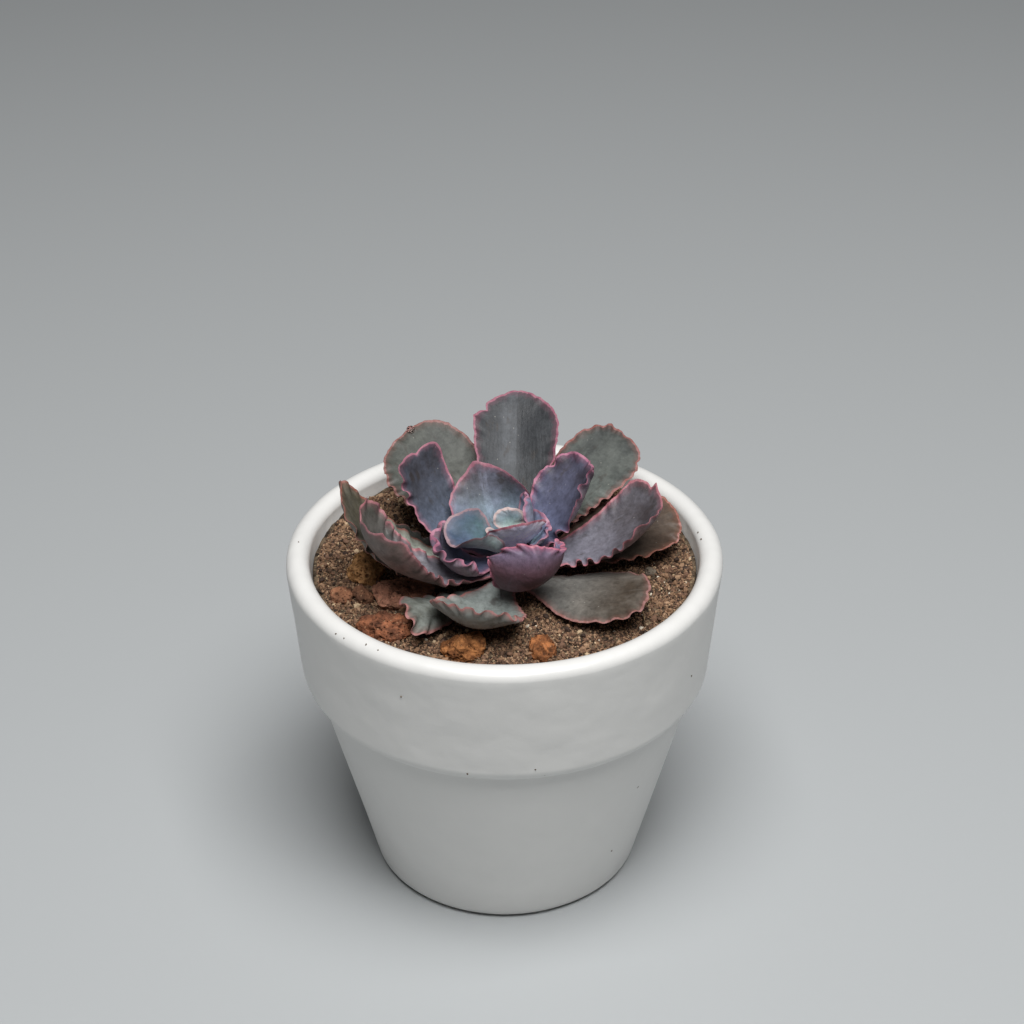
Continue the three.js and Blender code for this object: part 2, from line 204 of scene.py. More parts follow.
def turned(profile: np.ndarray, segments: int) -> tuple[np.ndarray, np.ndarray]:
    """Carries a closed profile (radius, height) round the Z axis.

    Args:
        profile: the profile's points, the last joined to the first.
        segments: steps round the axis.

    Returns:
        The vertices, and the faces that wrap both ways.
    """
    angle = np.linspace(0.0, 2.0 * math.pi, segments, endpoint=False)
    x = profile[:, 0][:, None] * np.cos(angle)
    y = profile[:, 0][:, None] * np.sin(angle)
    z = np.broadcast_to(profile[:, 1][:, None], x.shape)
    points = np.stack([x, y, z], axis=-1).reshape(-1, 3)
    ids = np.arange(len(points)).reshape(x.shape)
    return points, grid_faces(joined_round(np.concatenate([ids, ids[:1]], axis=0)))


def ball(rings: int, segments: int) -> tuple[np.ndarray, list[np.ndarray]]:
    """A unit ball by latitude and longitude, with a fan of triangles closing each pole."""
    latitude = np.linspace(0.0, math.pi, rings + 1)[1:-1]
    longitude = np.linspace(0.0, 2.0 * math.pi, segments, endpoint=False)
    x = np.sin(latitude)[:, None] * np.cos(longitude)
    y = np.sin(latitude)[:, None] * np.sin(longitude)
    z = np.broadcast_to(np.cos(latitude)[:, None], x.shape)
    body = np.stack([x, y, z], axis=-1).reshape(-1, 3)
    points = np.concatenate([body, [[0.0, 0.0, 1.0], [0.0, 0.0, -1.0]]])
    ids = joined_round(np.arange(len(body)).reshape(x.shape))
    north, south = fan_faces(len(body), ids[0]), fan_faces(len(body) + 1, ids[-1], flip=True)
    return points, [grid_faces(ids), north, south]


def turn_about(points: np.ndarray, axis: str, degrees: float) -> np.ndarray:
    """Turns points about the X or Z axis."""
    c, s = math.cos(math.radians(degrees)), math.sin(math.radians(degrees))
    if axis == "X":
        matrix = np.array([[1, 0, 0], [0, c, -s], [0, s, c]])
    else:
        matrix = np.array([[c, -s, 0], [s, c, 0], [0, 0, 1]])
    return points @ matrix.T


# ---------------------------------------------------------------- shader nodes


def tint(code: str) -> tuple[float, float, float, float]:
    """A colour written as six hexadecimal digits, as the linear values that shaders take."""
    parts = [int(code[i : i + 2], 16) / 255.0 for i in (0, 2, 4)]
    return (*[part / 12.92 if part <= 0.04045 else ((part + 0.055) / 1.055) ** 2.4 for part in parts], 1.0)


class Wiring:
    """Puts nodes into a tree and joins them up. A value is a number, a colour or another node's output."""

    def __init__(self, tree: bpy.types.NodeTree) -> None:
        """Starts with an empty tree."""
        self.tree = tree
        tree.nodes.clear()

    def node(self, kind: str, **settings: object) -> bpy.types.Node:
        """Adds a node and sets its properties."""
        made = self.tree.nodes.new(kind)
        for key, value in settings.items():
            setattr(made, key, value)
        return made

    def feed(self, socket: bpy.types.NodeSocket, value: object) -> None:
        """Joins an output to a socket, or writes a constant into it."""
        if isinstance(value, bpy.types.NodeSocket):
            self.tree.links.new(value, socket)
        else:
            socket.default_value = value

    def math(self, operation: str, *values: object) -> bpy.types.NodeSocket:
        """Arithmetic on numbers."""
        made = self.node("ShaderNodeMath", operation=operation)
        for socket, value in zip(made.inputs, values):
            self.feed(socket, value)
        return made.outputs[0]

    def mix(self, share: object, first: object, second: object, blend: str = "MIX") -> bpy.types.NodeSocket:
        """Blends two colours."""
        made = self.node("ShaderNodeMix", data_type="RGBA", blend_type=blend)
        self.feed(made.inputs["Factor"], share)
        self.feed(made.inputs[6], first)
        self.feed(made.inputs[7], second)
        return made.outputs[2]

    def span(
        self, value: object, low: float, high: float, to_low: float = 0.0, to_high: float = 1.0
    ) -> bpy.types.NodeSocket:
        """Maps a range smoothly onto another."""
        made = self.node("ShaderNodeMapRange", interpolation_type="SMOOTHSTEP")
        keys = ("Value", "From Min", "From Max", "To Min", "To Max")
        for key, part in zip(keys, (value, low, high, to_low, to_high)):
            self.feed(made.inputs[key], part)
        return made.outputs[0]

    def noise(self, place: object, scale: float, detail: float = 3.0, rough: float = 0.55) -> bpy.types.NodeSocket:
        """Cloudy noise from 0 to 1."""
        made = self.node("ShaderNodeTexNoise")
        for key, value in (("Vector", place), ("Scale", scale), ("Detail", detail), ("Roughness", rough)):
            self.feed(made.inputs[key], value)
        return made.outputs["Fac"]

    def cells(self, place: object, scale: float) -> tuple[bpy.types.NodeSocket, bpy.types.NodeSocket]:
        """Scattered seeds: the distance to the nearest one, and that one's own random colour."""
        made = self.node("ShaderNodeTexVoronoi")
        self.feed(made.inputs["Vector"], place)
        self.feed(made.inputs["Scale"], scale)
        return made.outputs["Distance"], made.outputs["Color"]

    def stretched(self, place: object, scale: Triple, offset: Triple = (0.0, 0.0, 0.0)) -> bpy.types.NodeSocket:
        """Scales and shifts a place."""
        made = self.node("ShaderNodeMapping")
        self.feed(made.inputs["Vector"], place)
        made.inputs["Scale"].default_value = scale
        made.inputs["Location"].default_value = offset
        return made.outputs[0]

    def parts(self, vector: object) -> list[bpy.types.NodeSocket]:
        """A vector's three numbers."""
        made = self.node("ShaderNodeSeparateXYZ")
        self.feed(made.inputs[0], vector)
        return list(made.outputs)

    def attribute(self, name: str) -> bpy.types.Node:
        """The piece's own named values."""
        return self.node("ShaderNodeAttribute", attribute_name=name, attribute_type="GEOMETRY")

    def place(self) -> bpy.types.NodeSocket:
        """Where the surface is, in metres."""
        return self.node("ShaderNodeTexCoord").outputs["Object"]

    def bump(self, height: object, distance: float) -> bpy.types.NodeSocket:
        """A normal that follows a height of so many metres."""
        made = self.node("ShaderNodeBump")
        made.inputs["Strength"].default_value = 1.0
        made.inputs["Distance"].default_value = distance
        self.feed(made.inputs["Height"], height)
        return made.outputs[0]

    def brighten(self, color: object, factor: object) -> bpy.types.NodeSocket:
        """Multiplies a colour's three parts by one number."""
        grey = self.node("ShaderNodeCombineColor")
        for socket in grey.inputs[:3]:
            self.feed(socket, factor)
        return self.mix(1.0, color, grey.outputs[0], "MULTIPLY")

    def group(self, tree: bpy.types.NodeTree, **values: object) -> bpy.types.Node:
        """Places a node group and fills in its inputs, named with spaces for underscores."""
        made = self.node("ShaderNodeGroup")
        made.node_tree = tree
        for key, value in values.items():
            self.feed(made.inputs[key.replace("_", " ")], value)
        return made


class Kind(Enum):
    """The kinds of input that a node group takes."""

    NUMBER = "NodeSocketFloat"
    COLOUR = "NodeSocketColor"
    VECTOR = "NodeSocketVector"


def node_group(
    name: str, inputs: dict[str, Kind], outputs: dict[str, Kind]
) -> tuple[bpy.types.NodeTree, Wiring, bpy.types.Node, bpy.types.Node]:
    """Starts a shader node group.

    Args:
        name: the group's name.
        inputs: its inputs' names and kinds.
        outputs: its outputs' names and kinds.

    Returns:
        The group, its wiring, and its nodes of inputs and of outputs.
    """
    tree = bpy.data.node_groups.new(name, "ShaderNodeTree")
    for key, kind in inputs.items():
        tree.interface.new_socket(key, in_out="INPUT", socket_type=kind.value)
    for key, kind in outputs.items():
        tree.interface.new_socket(key, in_out="OUTPUT", socket_type=kind.value)
    wiring = Wiring(tree)
    return tree, wiring, wiring.node("NodeGroupInput"), wiring.node("NodeGroupOutput")


def surface_material(name: str) -> tuple[bpy.types.Material, Wiring, bpy.types.Node]:
    """A new material with its principled shader joined to its output."""
    material = bpy.data.materials.new(name)
    material.use_nodes = True
    wiring = Wiring(material.node_tree)
    shader = wiring.node("ShaderNodeBsdfPrincipled")
    end = wiring.node("ShaderNodeOutputMaterial")
    wiring.feed(end.inputs["Surface"], shader.outputs[0])
    return material, wiring, shader


class SharedEffects:
    """The node groups that several finishes use, each built once."""

    DUST = "c9c4b8"
    # The pale pink of the painted highlights on the margin line.
    HIGHLIGHT_PINK = "e0b4b6"

    def __init__(self) -> None:
        """Builds the speckle, mottle and blade groups."""
        self.speckle = self.build_speckle()
        self.mottle = self.build_mottle()
        self.blade = self.build_blade()

    def build_speckle(self) -> bpy.types.NodeTree:
        """Sparse round specks: the seeds of a cell pattern whose own random number is under Amount."""
        tree, w, start, end = node_group(
            "speckle",
            {"Place": Kind.VECTOR, "Scale": Kind.NUMBER, "Size": Kind.NUMBER, "Amount": Kind.NUMBER},
            {"Mask": Kind.NUMBER},
        )
        distance, colour = w.cells(start.outputs["Place"], start.outputs["Scale"])
        chance = w.parts(colour)[0]
        size = w.parts(colour)[1]
        radius = w.math("MULTIPLY", start.outputs["Size"], w.math("MULTIPLY_ADD", size, 0.7, 0.3))
        near = w.math("LESS_THAN", distance, radius)
        picked = w.math("LESS_THAN", chance, start.outputs["Amount"])
        w.feed(end.inputs["Mask"], w.math("MULTIPLY", near, picked))
        return tree

    def build_mottle(self) -> bpy.types.NodeTree:
        """Cloudy change of a colour's brightness, at a coarse and a fine scale."""
        tree, w, start, end = node_group(
            "mottle",
            {"Place": Kind.VECTOR, "Color": Kind.COLOUR, "Scale": Kind.NUMBER, "Amount": Kind.NUMBER},
            {"Color": Kind.COLOUR, "Cloud": Kind.NUMBER},
        )
        coarse = w.noise(start.outputs["Place"], start.outputs["Scale"], 2.0)
        fine = w.noise(start.outputs["Place"], w.math("MULTIPLY", start.outputs["Scale"], 6.0), 4.0, 0.65)
        cloud = w.math("ADD", w.math("MULTIPLY", coarse, 0.6), w.math("MULTIPLY", fine, 0.4))
        swing = w.math("MULTIPLY", w.math("SUBTRACT", cloud, 0.5), start.outputs["Amount"])
        factor = w.math("MULTIPLY_ADD", swing, 2.0, 1.0)
        w.feed(end.inputs["Color"], w.brighten(start.outputs["Color"], factor))
        w.feed(end.inputs["Cloud"], cloud)
        return tree

    def build_blade(self) -> bpy.types.NodeTree:
        """A leaf's skin. Along the blade it goes from heart to tip colour, its lower face has its own
        colour, wax lies over it in clouds and lengthwise streaks, stains show where the wax is rubbed,
        and a thin line with a soft blush inside it follows the margin, with pale pink painted
        highlights mixed into that line by noise."""
        numbers = ("Bloom", "Stain", "Streak", "Line", "Blush", "Seed", "Ray", "Ray From", "Ray Width")
        colours = ("Heart", "Tip", "Under", "Wax", "Stained", "Margin")
        inputs = {key: Kind.COLOUR for key in colours} | {key: Kind.NUMBER for key in numbers}
        outputs = {"Color": Kind.COLOUR, "Cloud": Kind.NUMBER, "Height": Kind.NUMBER}
        tree, w, start, end = node_group("leaf_skin", inputs, outputs)
        take = start.outputs
        flat = w.attribute("flat").outputs["Vector"]
        edge = w.attribute("edge").outputs["Fac"]
        share = w.attribute("share").outputs["Fac"]
        face = w.attribute("face").outputs["Fac"]
        shift = w.node("ShaderNodeCombineXYZ")
        w.feed(shift.inputs[2], take["Seed"])
        shifted = w.node("ShaderNodeVectorMath", operation="ADD")
        w.feed(shifted.inputs[0], flat)
        w.feed(shifted.inputs[1], shift.outputs[0])
        spot = shifted.outputs[0]

        body = w.mix(w.span(share, 0.15, 0.85), take["Heart"], take["Tip"])
        lower = w.mix(w.math("MULTIPLY", w.span(share, 0.7, 0.95), 0.6), take["Under"], take["Tip"])
        body = w.mix(face, lower, body)
        clouds = w.noise(spot, 0.16, 3.0, 0.6)
        fine = w.noise(spot, 0.75, 5.0, 0.72)
        streaks = w.noise(w.stretched(spot, (0.10, 0.9, 1.0)), 1.0, 3.0, 0.6)
        wax = w.math("MULTIPLY", w.span(clouds, 0.35, 0.7), take["Bloom"])
        streaked = w.math("MULTIPLY", w.span(streaks, 0.45, 0.8), take["Streak"])
        wax = w.math("MAXIMUM", wax, streaked)
        body = w.mix(wax, body, take["Wax"])
        inward = w.math("SUBTRACT", w.parts(flat)[1], take["Ray From"])
        fading = w.span(w.math("DIVIDE", inward, take["Ray Width"]), 0.45, 1.0, 1.0, 0.0)
        strip = w.math("MULTIPLY", w.span(inward, 0.0, 0.5), fading)
        strip = w.math("MULTIPLY", w.math("MULTIPLY", strip, face), w.span(share, 0.25, 0.6))
        streaky = w.math("MULTIPLY_ADD", streaks, 1.6, 0.2)
        pale = w.math("MULTIPLY", w.math("MULTIPLY", strip, take["Ray"]), streaky)
        cloudy = w.math("MULTIPLY_ADD", clouds, 0.7, -0.1)
        tone = w.math("MULTIPLY", w.math("MULTIPLY_ADD", fine, 1.5, cloudy), w.math("ADD", pale, 1.0))
        body = w.brighten(body, tone)
        blots = w.noise(w.stretched(spot, (0.4, 1.0, 1.0), (7.0, 3.0, 0.0)), 0.5, 4.0, 0.65)
        stain = w.math("MULTIPLY", w.span(blots, 0.57, 0.68), take["Stain"])
        stain = w.math("MAXIMUM", stain, w.math("MULTIPLY", w.attribute("blot").outputs["Fac"], 0.6))
        body = w.mix(stain, body, take["Stained"])
        dust = w.group(self.speckle, Place=spot, Scale=1.1, Size=0.16, Amount=0.10).outputs["Mask"]
        body = w.mix(w.math("MULTIPLY", dust, 0.35), body, tint(self.DUST))

        wander = w.noise(spot, 0.8, 2.0)
        width = w.math("MULTIPLY", take["Line"], w.math("MULTIPLY_ADD", wander, 1.4, 0.3))
        ratio = w.math("DIVIDE", edge, width)
        blush = w.math("MULTIPLY", w.span(w.math("DIVIDE", ratio, 4.0), 0.0, 1.0, 1.0, 0.0), take["Blush"])
        body = w.mix(blush, body, take["Margin"])
        line = w.span(ratio, 0.75, 1.25, 1.0, 0.0)
        # Pale pink painted highlights, mixed into the margin line by noise.
        margin_highlight = w.mix(w.noise(spot, 0.5, 2.0), take["Margin"], tint(self.HIGHLIGHT_PINK))
        highlighted_line = w.mix(w.math("MULTIPLY", w.span(fine, 0.3, 0.7), 0.5), take["Margin"], margin_highlight)
        w.feed(end.inputs["Color"], w.mix(line, body, highlighted_line))
        w.feed(end.inputs["Cloud"], clouds)
        w.feed(end.inputs["Height"], w.math("ADD", fine, w.math("MULTIPLY", streaks, 0.8)))
        return tree


# ---------------------------------------------------------------- finishes


@dataclass(frozen=True)
class Glaze:
    """A satin white glaze over pale clay, which stays bare under the foot."""

    name: str = "white_glaze"
    color: str = "e2e1de"
    clay: str = "b9aa98"
    speck: str = "6b5c4c"
    roughness: float = 0.3
    bare_below: float = 0.0006

    def build(self, effects: SharedEffects) -> bpy.types.Material:
        """Builds the material."""
        material, w, shader = surface_material(self.name)
        place = w.place()
        height = w.parts(place)[2]
        tone = w.group(effects.mottle, Place=place, Color=tint(self.color), Scale=38.0, Amount=0.05)
        specks = w.group(effects.speckle, Place=place, Scale=230.0, Size=0.085, Amount=0.06).outputs["Mask"]
        dirty = w.mix(w.math("MULTIPLY", specks, 0.75), tone.outputs["Color"], tint(self.speck))
        foot = w.span(height, 0.0, self.bare_below, 1.0, 0.0)
        w.feed(shader.inputs["Base Color"], w.mix(foot, dirty, tint(self.clay)))
        gloss = w.math("MULTIPLY_ADD", tone.outputs["Cloud"], 0.12, self.roughness)
        w.feed(shader.inputs["Roughness"], w.math("MULTIPLY_ADD", foot, 0.5, gloss))
        peel = w.math("ADD", w.noise(place, 90.0, 2.0), w.math("MULTIPLY", w.noise(place, 700.0, 2.0), 0.06))
        w.feed(shader.inputs["Normal"], w.bump(peel, 0.0004))
        return material


@dataclass(frozen=True)
class LeafSkin:
    """A waxy leaf skin and its coloured margin."""

    heart: str
    tip: str
    under: str
    margin: str
    wax: str = "8d929c"
    stained: str = "3f3833"
    bloom: float = 0.35
    stain: float = 0.5
    streak: float = 0.35
    line: float = 0.56
    blush: float = 0.34
    ray: float = 0.0
    ray_at: tuple[float, float] = (-1.0, 2.0)

    def build(self, name: str, seed: float, effects: SharedEffects) -> bpy.types.Material:
        """Builds the material of one leaf.

        Args:
            name: the leaf's name.
            seed: shifts the patterns, so that no two leaves are alike.
            effects: the shared node groups.

        Returns:
            The material.
        """
        material, w, shader = surface_material(name + "_skin")
        skin = w.group(
            effects.blade,
            Heart=tint(self.heart), Tip=tint(self.tip), Under=tint(self.under), Wax=tint(self.wax),
            Stained=tint(self.stained), Margin=tint(self.margin), Bloom=self.bloom, Stain=self.stain,
            Streak=self.streak, Line=self.line, Blush=self.blush, Seed=seed,
            Ray=self.ray, Ray_From=self.ray_at[0], Ray_Width=self.ray_at[1],
        )
        w.feed(shader.inputs["Base Color"], skin.outputs["Color"])
        w.feed(shader.inputs["Roughness"], w.math("MULTIPLY_ADD", skin.outputs["Cloud"], 0.25, 0.42))
        w.feed(shader.inputs["Normal"], w.bump(skin.outputs["Height"], 0.00012))
        shader.inputs["Specular IOR Level"].default_value = 0.4
        return material


@dataclass(frozen=True)
class Rock:
    """A porous stone: two clay colours in clouds, painted shade in its pits and a little pale dust."""

    name: str
    color: str
    second: str
    # The colour of the painted shade in the pores.
    pit: str = "35241a"
    dust: str = "c9a27c"

    def build(self, effects: SharedEffects) -> bpy.types.Material:
        """Builds the material. The attribute pit holds how deep in a pore each point lies, and the pores are darkened
        by it as painted shade.
        """
        material, w, shader = surface_material(self.name)
        place = w.place()
        clouds = w.noise(place, 320.0, 5.0, 0.7)
        body = w.mix(w.span(clouds, 0.38, 0.62), tint(self.color), tint(self.second))
        tone = w.group(effects.mottle, Place=place, Color=body, Scale=620.0, Amount=1.1)
        sunk = w.attribute("pit").outputs["Fac"]
        # Painted shade: the deeper in a pore, the darker.
        holed = w.mix(w.math("MULTIPLY", sunk, 0.75), tone.outputs["Color"], tint(self.pit))
        dots = w.group(effects.speckle, Place=place, Scale=1400.0, Size=0.36, Amount=0.2).outputs["Mask"]
        dusty = w.mix(w.math("MULTIPLY", dots, 0.5), holed, tint(self.dust))
        w.feed(shader.inputs["Base Color"], dusty)
        w.feed(shader.inputs["Normal"], w.bump(w.noise(place, 1500.0, 4.0, 0.75), 0.0006))
        shader.inputs["Roughness"].default_value = 0.95
        shader.inputs["Specular IOR Level"].default_value = 0.2
        return material


@dataclass(frozen=True)
class Grit:
    """Loose mineral grains. The attribute tone picks each grain's colour from dark through tan to pale."""

    name: str
    shades: tuple[tuple[float, str], ...]

    def build(self, effects: SharedEffects) -> bpy.types.Material:
        """Builds the material."""
        material, w, shader = surface_material(self.name)
        place = w.place()
        pick = w.node("ShaderNodeValToRGB")
        w.feed(pick.inputs[0], w.attribute("tone").outputs["Fac"])
        ramp = pick.color_ramp
        ramp.interpolation = "CONSTANT"
        while len(ramp.elements) < len(self.shades):
            ramp.elements.new(1.0)
        for element, (position, code) in zip(ramp.elements, self.shades):
            element.position = position
            element.color = tint(code)
        tone = w.group(effects.mottle, Place=place, Color=pick.outputs[0], Scale=900.0, Amount=0.5)
        w.feed(shader.inputs["Base Color"], tone.outputs["Color"])
        w.feed(shader.inputs["Roughness"], w.math("MULTIPLY_ADD", tone.outputs["Cloud"], 0.3, 0.6))
        shader.inputs["Specular IOR Level"].default_value = 0.3
        return material


@dataclass(frozen=True)
class Earth:
    """The fine earth between the grains."""

    name: str = "fine_earth"
    dark: str = "2e2620"
    light: str = "7d6a56"
    speck: str = "a99678"

    def build(self, effects: SharedEffects) -> bpy.types.Material:
        """Builds the material."""
        material, w, shader = surface_material(self.name)
        place = w.place()
        patch = w.noise(place, 420.0, 4.0, 0.7)
        body = w.mix(w.span(patch, 0.35, 0.65), tint(self.dark), tint(self.light))
        dots = w.group(effects.speckle, Place=place, Scale=1400.0, Size=0.4, Amount=0.22).outputs["Mask"]
        w.feed(shader.inputs["Base Color"], w.mix(w.math("MULTIPLY", dots, 0.6), body, tint(self.speck)))
        w.feed(shader.inputs["Normal"], w.bump(w.noise(place, 1300.0, 4.0, 0.75), 0.0005))
        shader.inputs["Roughness"].default_value = 1.0
        shader.inputs["Specular IOR Level"].default_value = 0.15
        return material


@dataclass(frozen=True)
class Bark:
    """Corky stem and dry rootlets. The stem turns to young green above a height in metres."""

    name: str
    dark: str = "3a2f22"
    light: str = "8a7655"
    green: str = "78908a"
    green_above: float = 0.0885
    turning: float = 0.0015

    def build(self, effects: SharedEffects) -> bpy.types.Material:
        """Builds the material."""
        material, w, shader = surface_material(self.name)
        place = w.place()
        rings = w.noise(w.stretched(place, (1.0, 1.0, 4.0)), 420.0, 4.0, 0.65)
        cork = w.mix(w.span(rings, 0.35, 0.7), tint(self.dark), tint(self.light))
        young = w.span(w.parts(place)[2], self.green_above, self.green_above + self.turning)
        w.feed(shader.inputs["Base Color"], w.mix(young, cork, tint(self.green)))
        w.feed(shader.inputs["Normal"], w.bump(rings, 0.0006))
        shader.inputs["Roughness"].default_value = 0.85
        return material


def water() -> bpy.types.Material:
    """Clear water."""
    material, _, shader = surface_material("water")
    shader.inputs["Base Color"].default_value = (1.0, 1.0, 1.0, 1.0)
    shader.inputs["Roughness"].default_value = 0.02
    shader.inputs["IOR"].default_value = 1.33
    shader.inputs["Transmission Weight"].default_value = 1.0
    return material


def paper() -> bpy.types.Material:
    """The plain pale floor."""
    material, w, shader = surface_material("pale_floor")
    w.feed(shader.inputs["Base Color"], tint("b4b7b8"))
    shader.inputs["Roughness"].default_value = 0.9
    return material


# ---------------------------------------------------------------- pot


@dataclass
class Pot:
    """The glazed pot: a tapered body under a taller, wider collar with a rounded lip. Sizes in millimetres."""

    height: float = 84.0
    rim_radius: float = 50.0
    collar_height: float = 32.0
    collar_foot_radius: float = 47.6
    collar_foot_rounding: float = 4.0
    waist_radius: float = 44.5
    foot_radius: float = 32.0
    foot_rounding: float = 3.2
    lip_width: float = 5.4
    lip_height: float = 2.4
    wall: float = 5.4
    floor: float = 7.0
    drain_radius: float = 6.0
    drain_rounding: float = 0.8
    bowl_rounding: float = 2.5
    profile_step: float = 1.6
    least_step: float = 0.12
    waver: float = 0.12
    segments: int = 288
    seed: int = 5

    @property
    def collar_foot(self) -> float:
        """Height of the collar's lower edge."""
        return self.height - self.collar_height

    @property
    def mouth_radius(self) -> float:
        """Inner radius at the lip."""
        return self.rim_radius - self.lip_width

    def inner_radius(self, z: float) -> float:
        """Inner radius of the wall at a height: one cone up to the collar's foot and a steeper one above."""
        shoulder = self.waist_radius - self.wall
        if z < self.collar_foot:
            return float(np.interp(z, [self.floor, self.collar_foot], [self.foot_radius - self.wall, shoulder]))
        return float(np.interp(z, [self.collar_foot, self.height - self.lip_height], [shoulder, self.mouth_radius]))

    def arc(
        self, radius: float, z: float, wide: float, tall: float, start: float, end: float, steps: int
    ) -> np.ndarray:
        """Points of an elliptic arc of the profile between two angles in degrees."""
        angle = np.radians(np.linspace(start, end, steps + 1))
        return np.stack([radius + wide * np.cos(angle), z + tall * np.sin(angle)], axis=-1)

    def profile(self) -> np.ndarray:
        """The closed profile (radius, height), with its long straight runs divided evenly."""
        lip, foot, collar = self.lip_width / 2, self.foot_rounding, self.collar_foot_rounding
        lip_foot, hole, bowl = self.height - self.lip_height, self.drain_rounding, self.bowl_rounding
        corners = np.concatenate([
            self.arc(self.drain_radius + hole, hole, hole, hole, 180, 270, 4),
            self.arc(self.foot_radius - foot, foot, foot, foot, -90, -8, 10),
            self.arc(self.waist_radius + 1.0, self.collar_foot - 0.6, 1.0, 1.0, 172, 110, 5),
            self.arc(self.collar_foot_radius - collar, self.collar_foot + collar, collar, collar, -72, 0, 12),
            self.arc(self.rim_radius - lip, lip_foot, lip, self.lip_height, 0, 180, 28),
            self.arc(self.inner_radius(self.collar_foot) + 0.2, self.collar_foot, 0.5, 1.5, 30, -30, 4),
            self.arc(self.inner_radius(self.floor) - bowl, self.floor + bowl, bowl, bowl, 0, -90, 6),
            self.arc(self.drain_radius + hole, self.floor - hole, hole, hole, 90, 180, 4),
        ])
        closed = np.concatenate([corners, corners[:1]])
        length = np.concatenate([[0.0], np.cumsum(np.linalg.norm(np.diff(closed, axis=0), axis=1))])
        evenly = np.arange(0.0, length[-1], self.profile_step)
        stops = np.unique(np.round(np.concatenate([length[:-1], evenly]), 4))
        keep = np.concatenate([[True], np.diff(stops) > self.least_step])
        stops = stops[keep]
        return np.stack([np.interp(stops, length, closed[:, 0]), np.interp(stops, length, closed[:, 1])], axis=-1)

    def build(self, effects: SharedEffects) -> bpy.types.Object:
        """Turns the profile about Z and lets its radius waver by slow noise, with shallow dents on the collar."""
        points, faces = turned(self.profile(), self.segments)
        radius = np.linalg.norm(points[:, :2], axis=1)
        slow = smooth_noise(points / 17.0, self.seed)
        dents = smooth_noise(points / np.array([9.0, 9.0, 5.0]), self.seed + 1)
        on_collar = smooth_step(points[:, 2], self.collar_foot, self.collar_foot + 6.0)
        on_collar = on_collar * (radius > self.mouth_radius)
        waver = self.waver * slow + self.waver * dents * on_collar
        points[:, :2] *= (1.0 + waver / np.maximum(radius, 20.0))[:, None]
        piece = set_down("pot_glazed", points, [faces], Glaze().build(effects))
        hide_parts("pot")
        return piece


# ---------------------------------------------------------------- soil


@dataclass
class Planting:
    """Where the soil surface and the stem stand, in millimetres."""

    soil_top: float = 79.6
    stem_x: float = 2.0
    stem_y: float = -9.0
    mound: float = 0.6
    ripple: float = 0.3
    reach: float = 44.6

    def soil_height(self, x: np.ndarray, y: np.ndarray) -> np.ndarray:
        """The soil surface: a low mound round the stem and slow ripples."""
        away = np.hypot(x - self.stem_x, y - self.stem_y) / (0.4 * self.reach)
        slow = np.sin(x * 0.31 + 1.2) * np.cos(y * 0.27)
        cross = np.sin(y * 0.45 + x * 0.12)
        return self.soil_top + self.mound * np.exp(-(away**2)) + self.ripple * (slow + cross)

    def lumps(self, x: np.ndarray, y: np.ndarray) -> np.ndarray:
        """How far clods raise or sink the surface: rough noise at 7 mm, and finer crumbs at 1.5 mm."""
        flat = np.stack([x, y], axis=-1)
        return 0.55 * rough_noise(flat / 7.0, 41, 3) + 0.22 * smooth_noise(flat / 1.5, 43)

    def surface(self, x: np.ndarray, y: np.ndarray) -> np.ndarray:
        """The soil surface with its lumps."""
        return self.soil_height(x, y) + self.lumps(x, y)


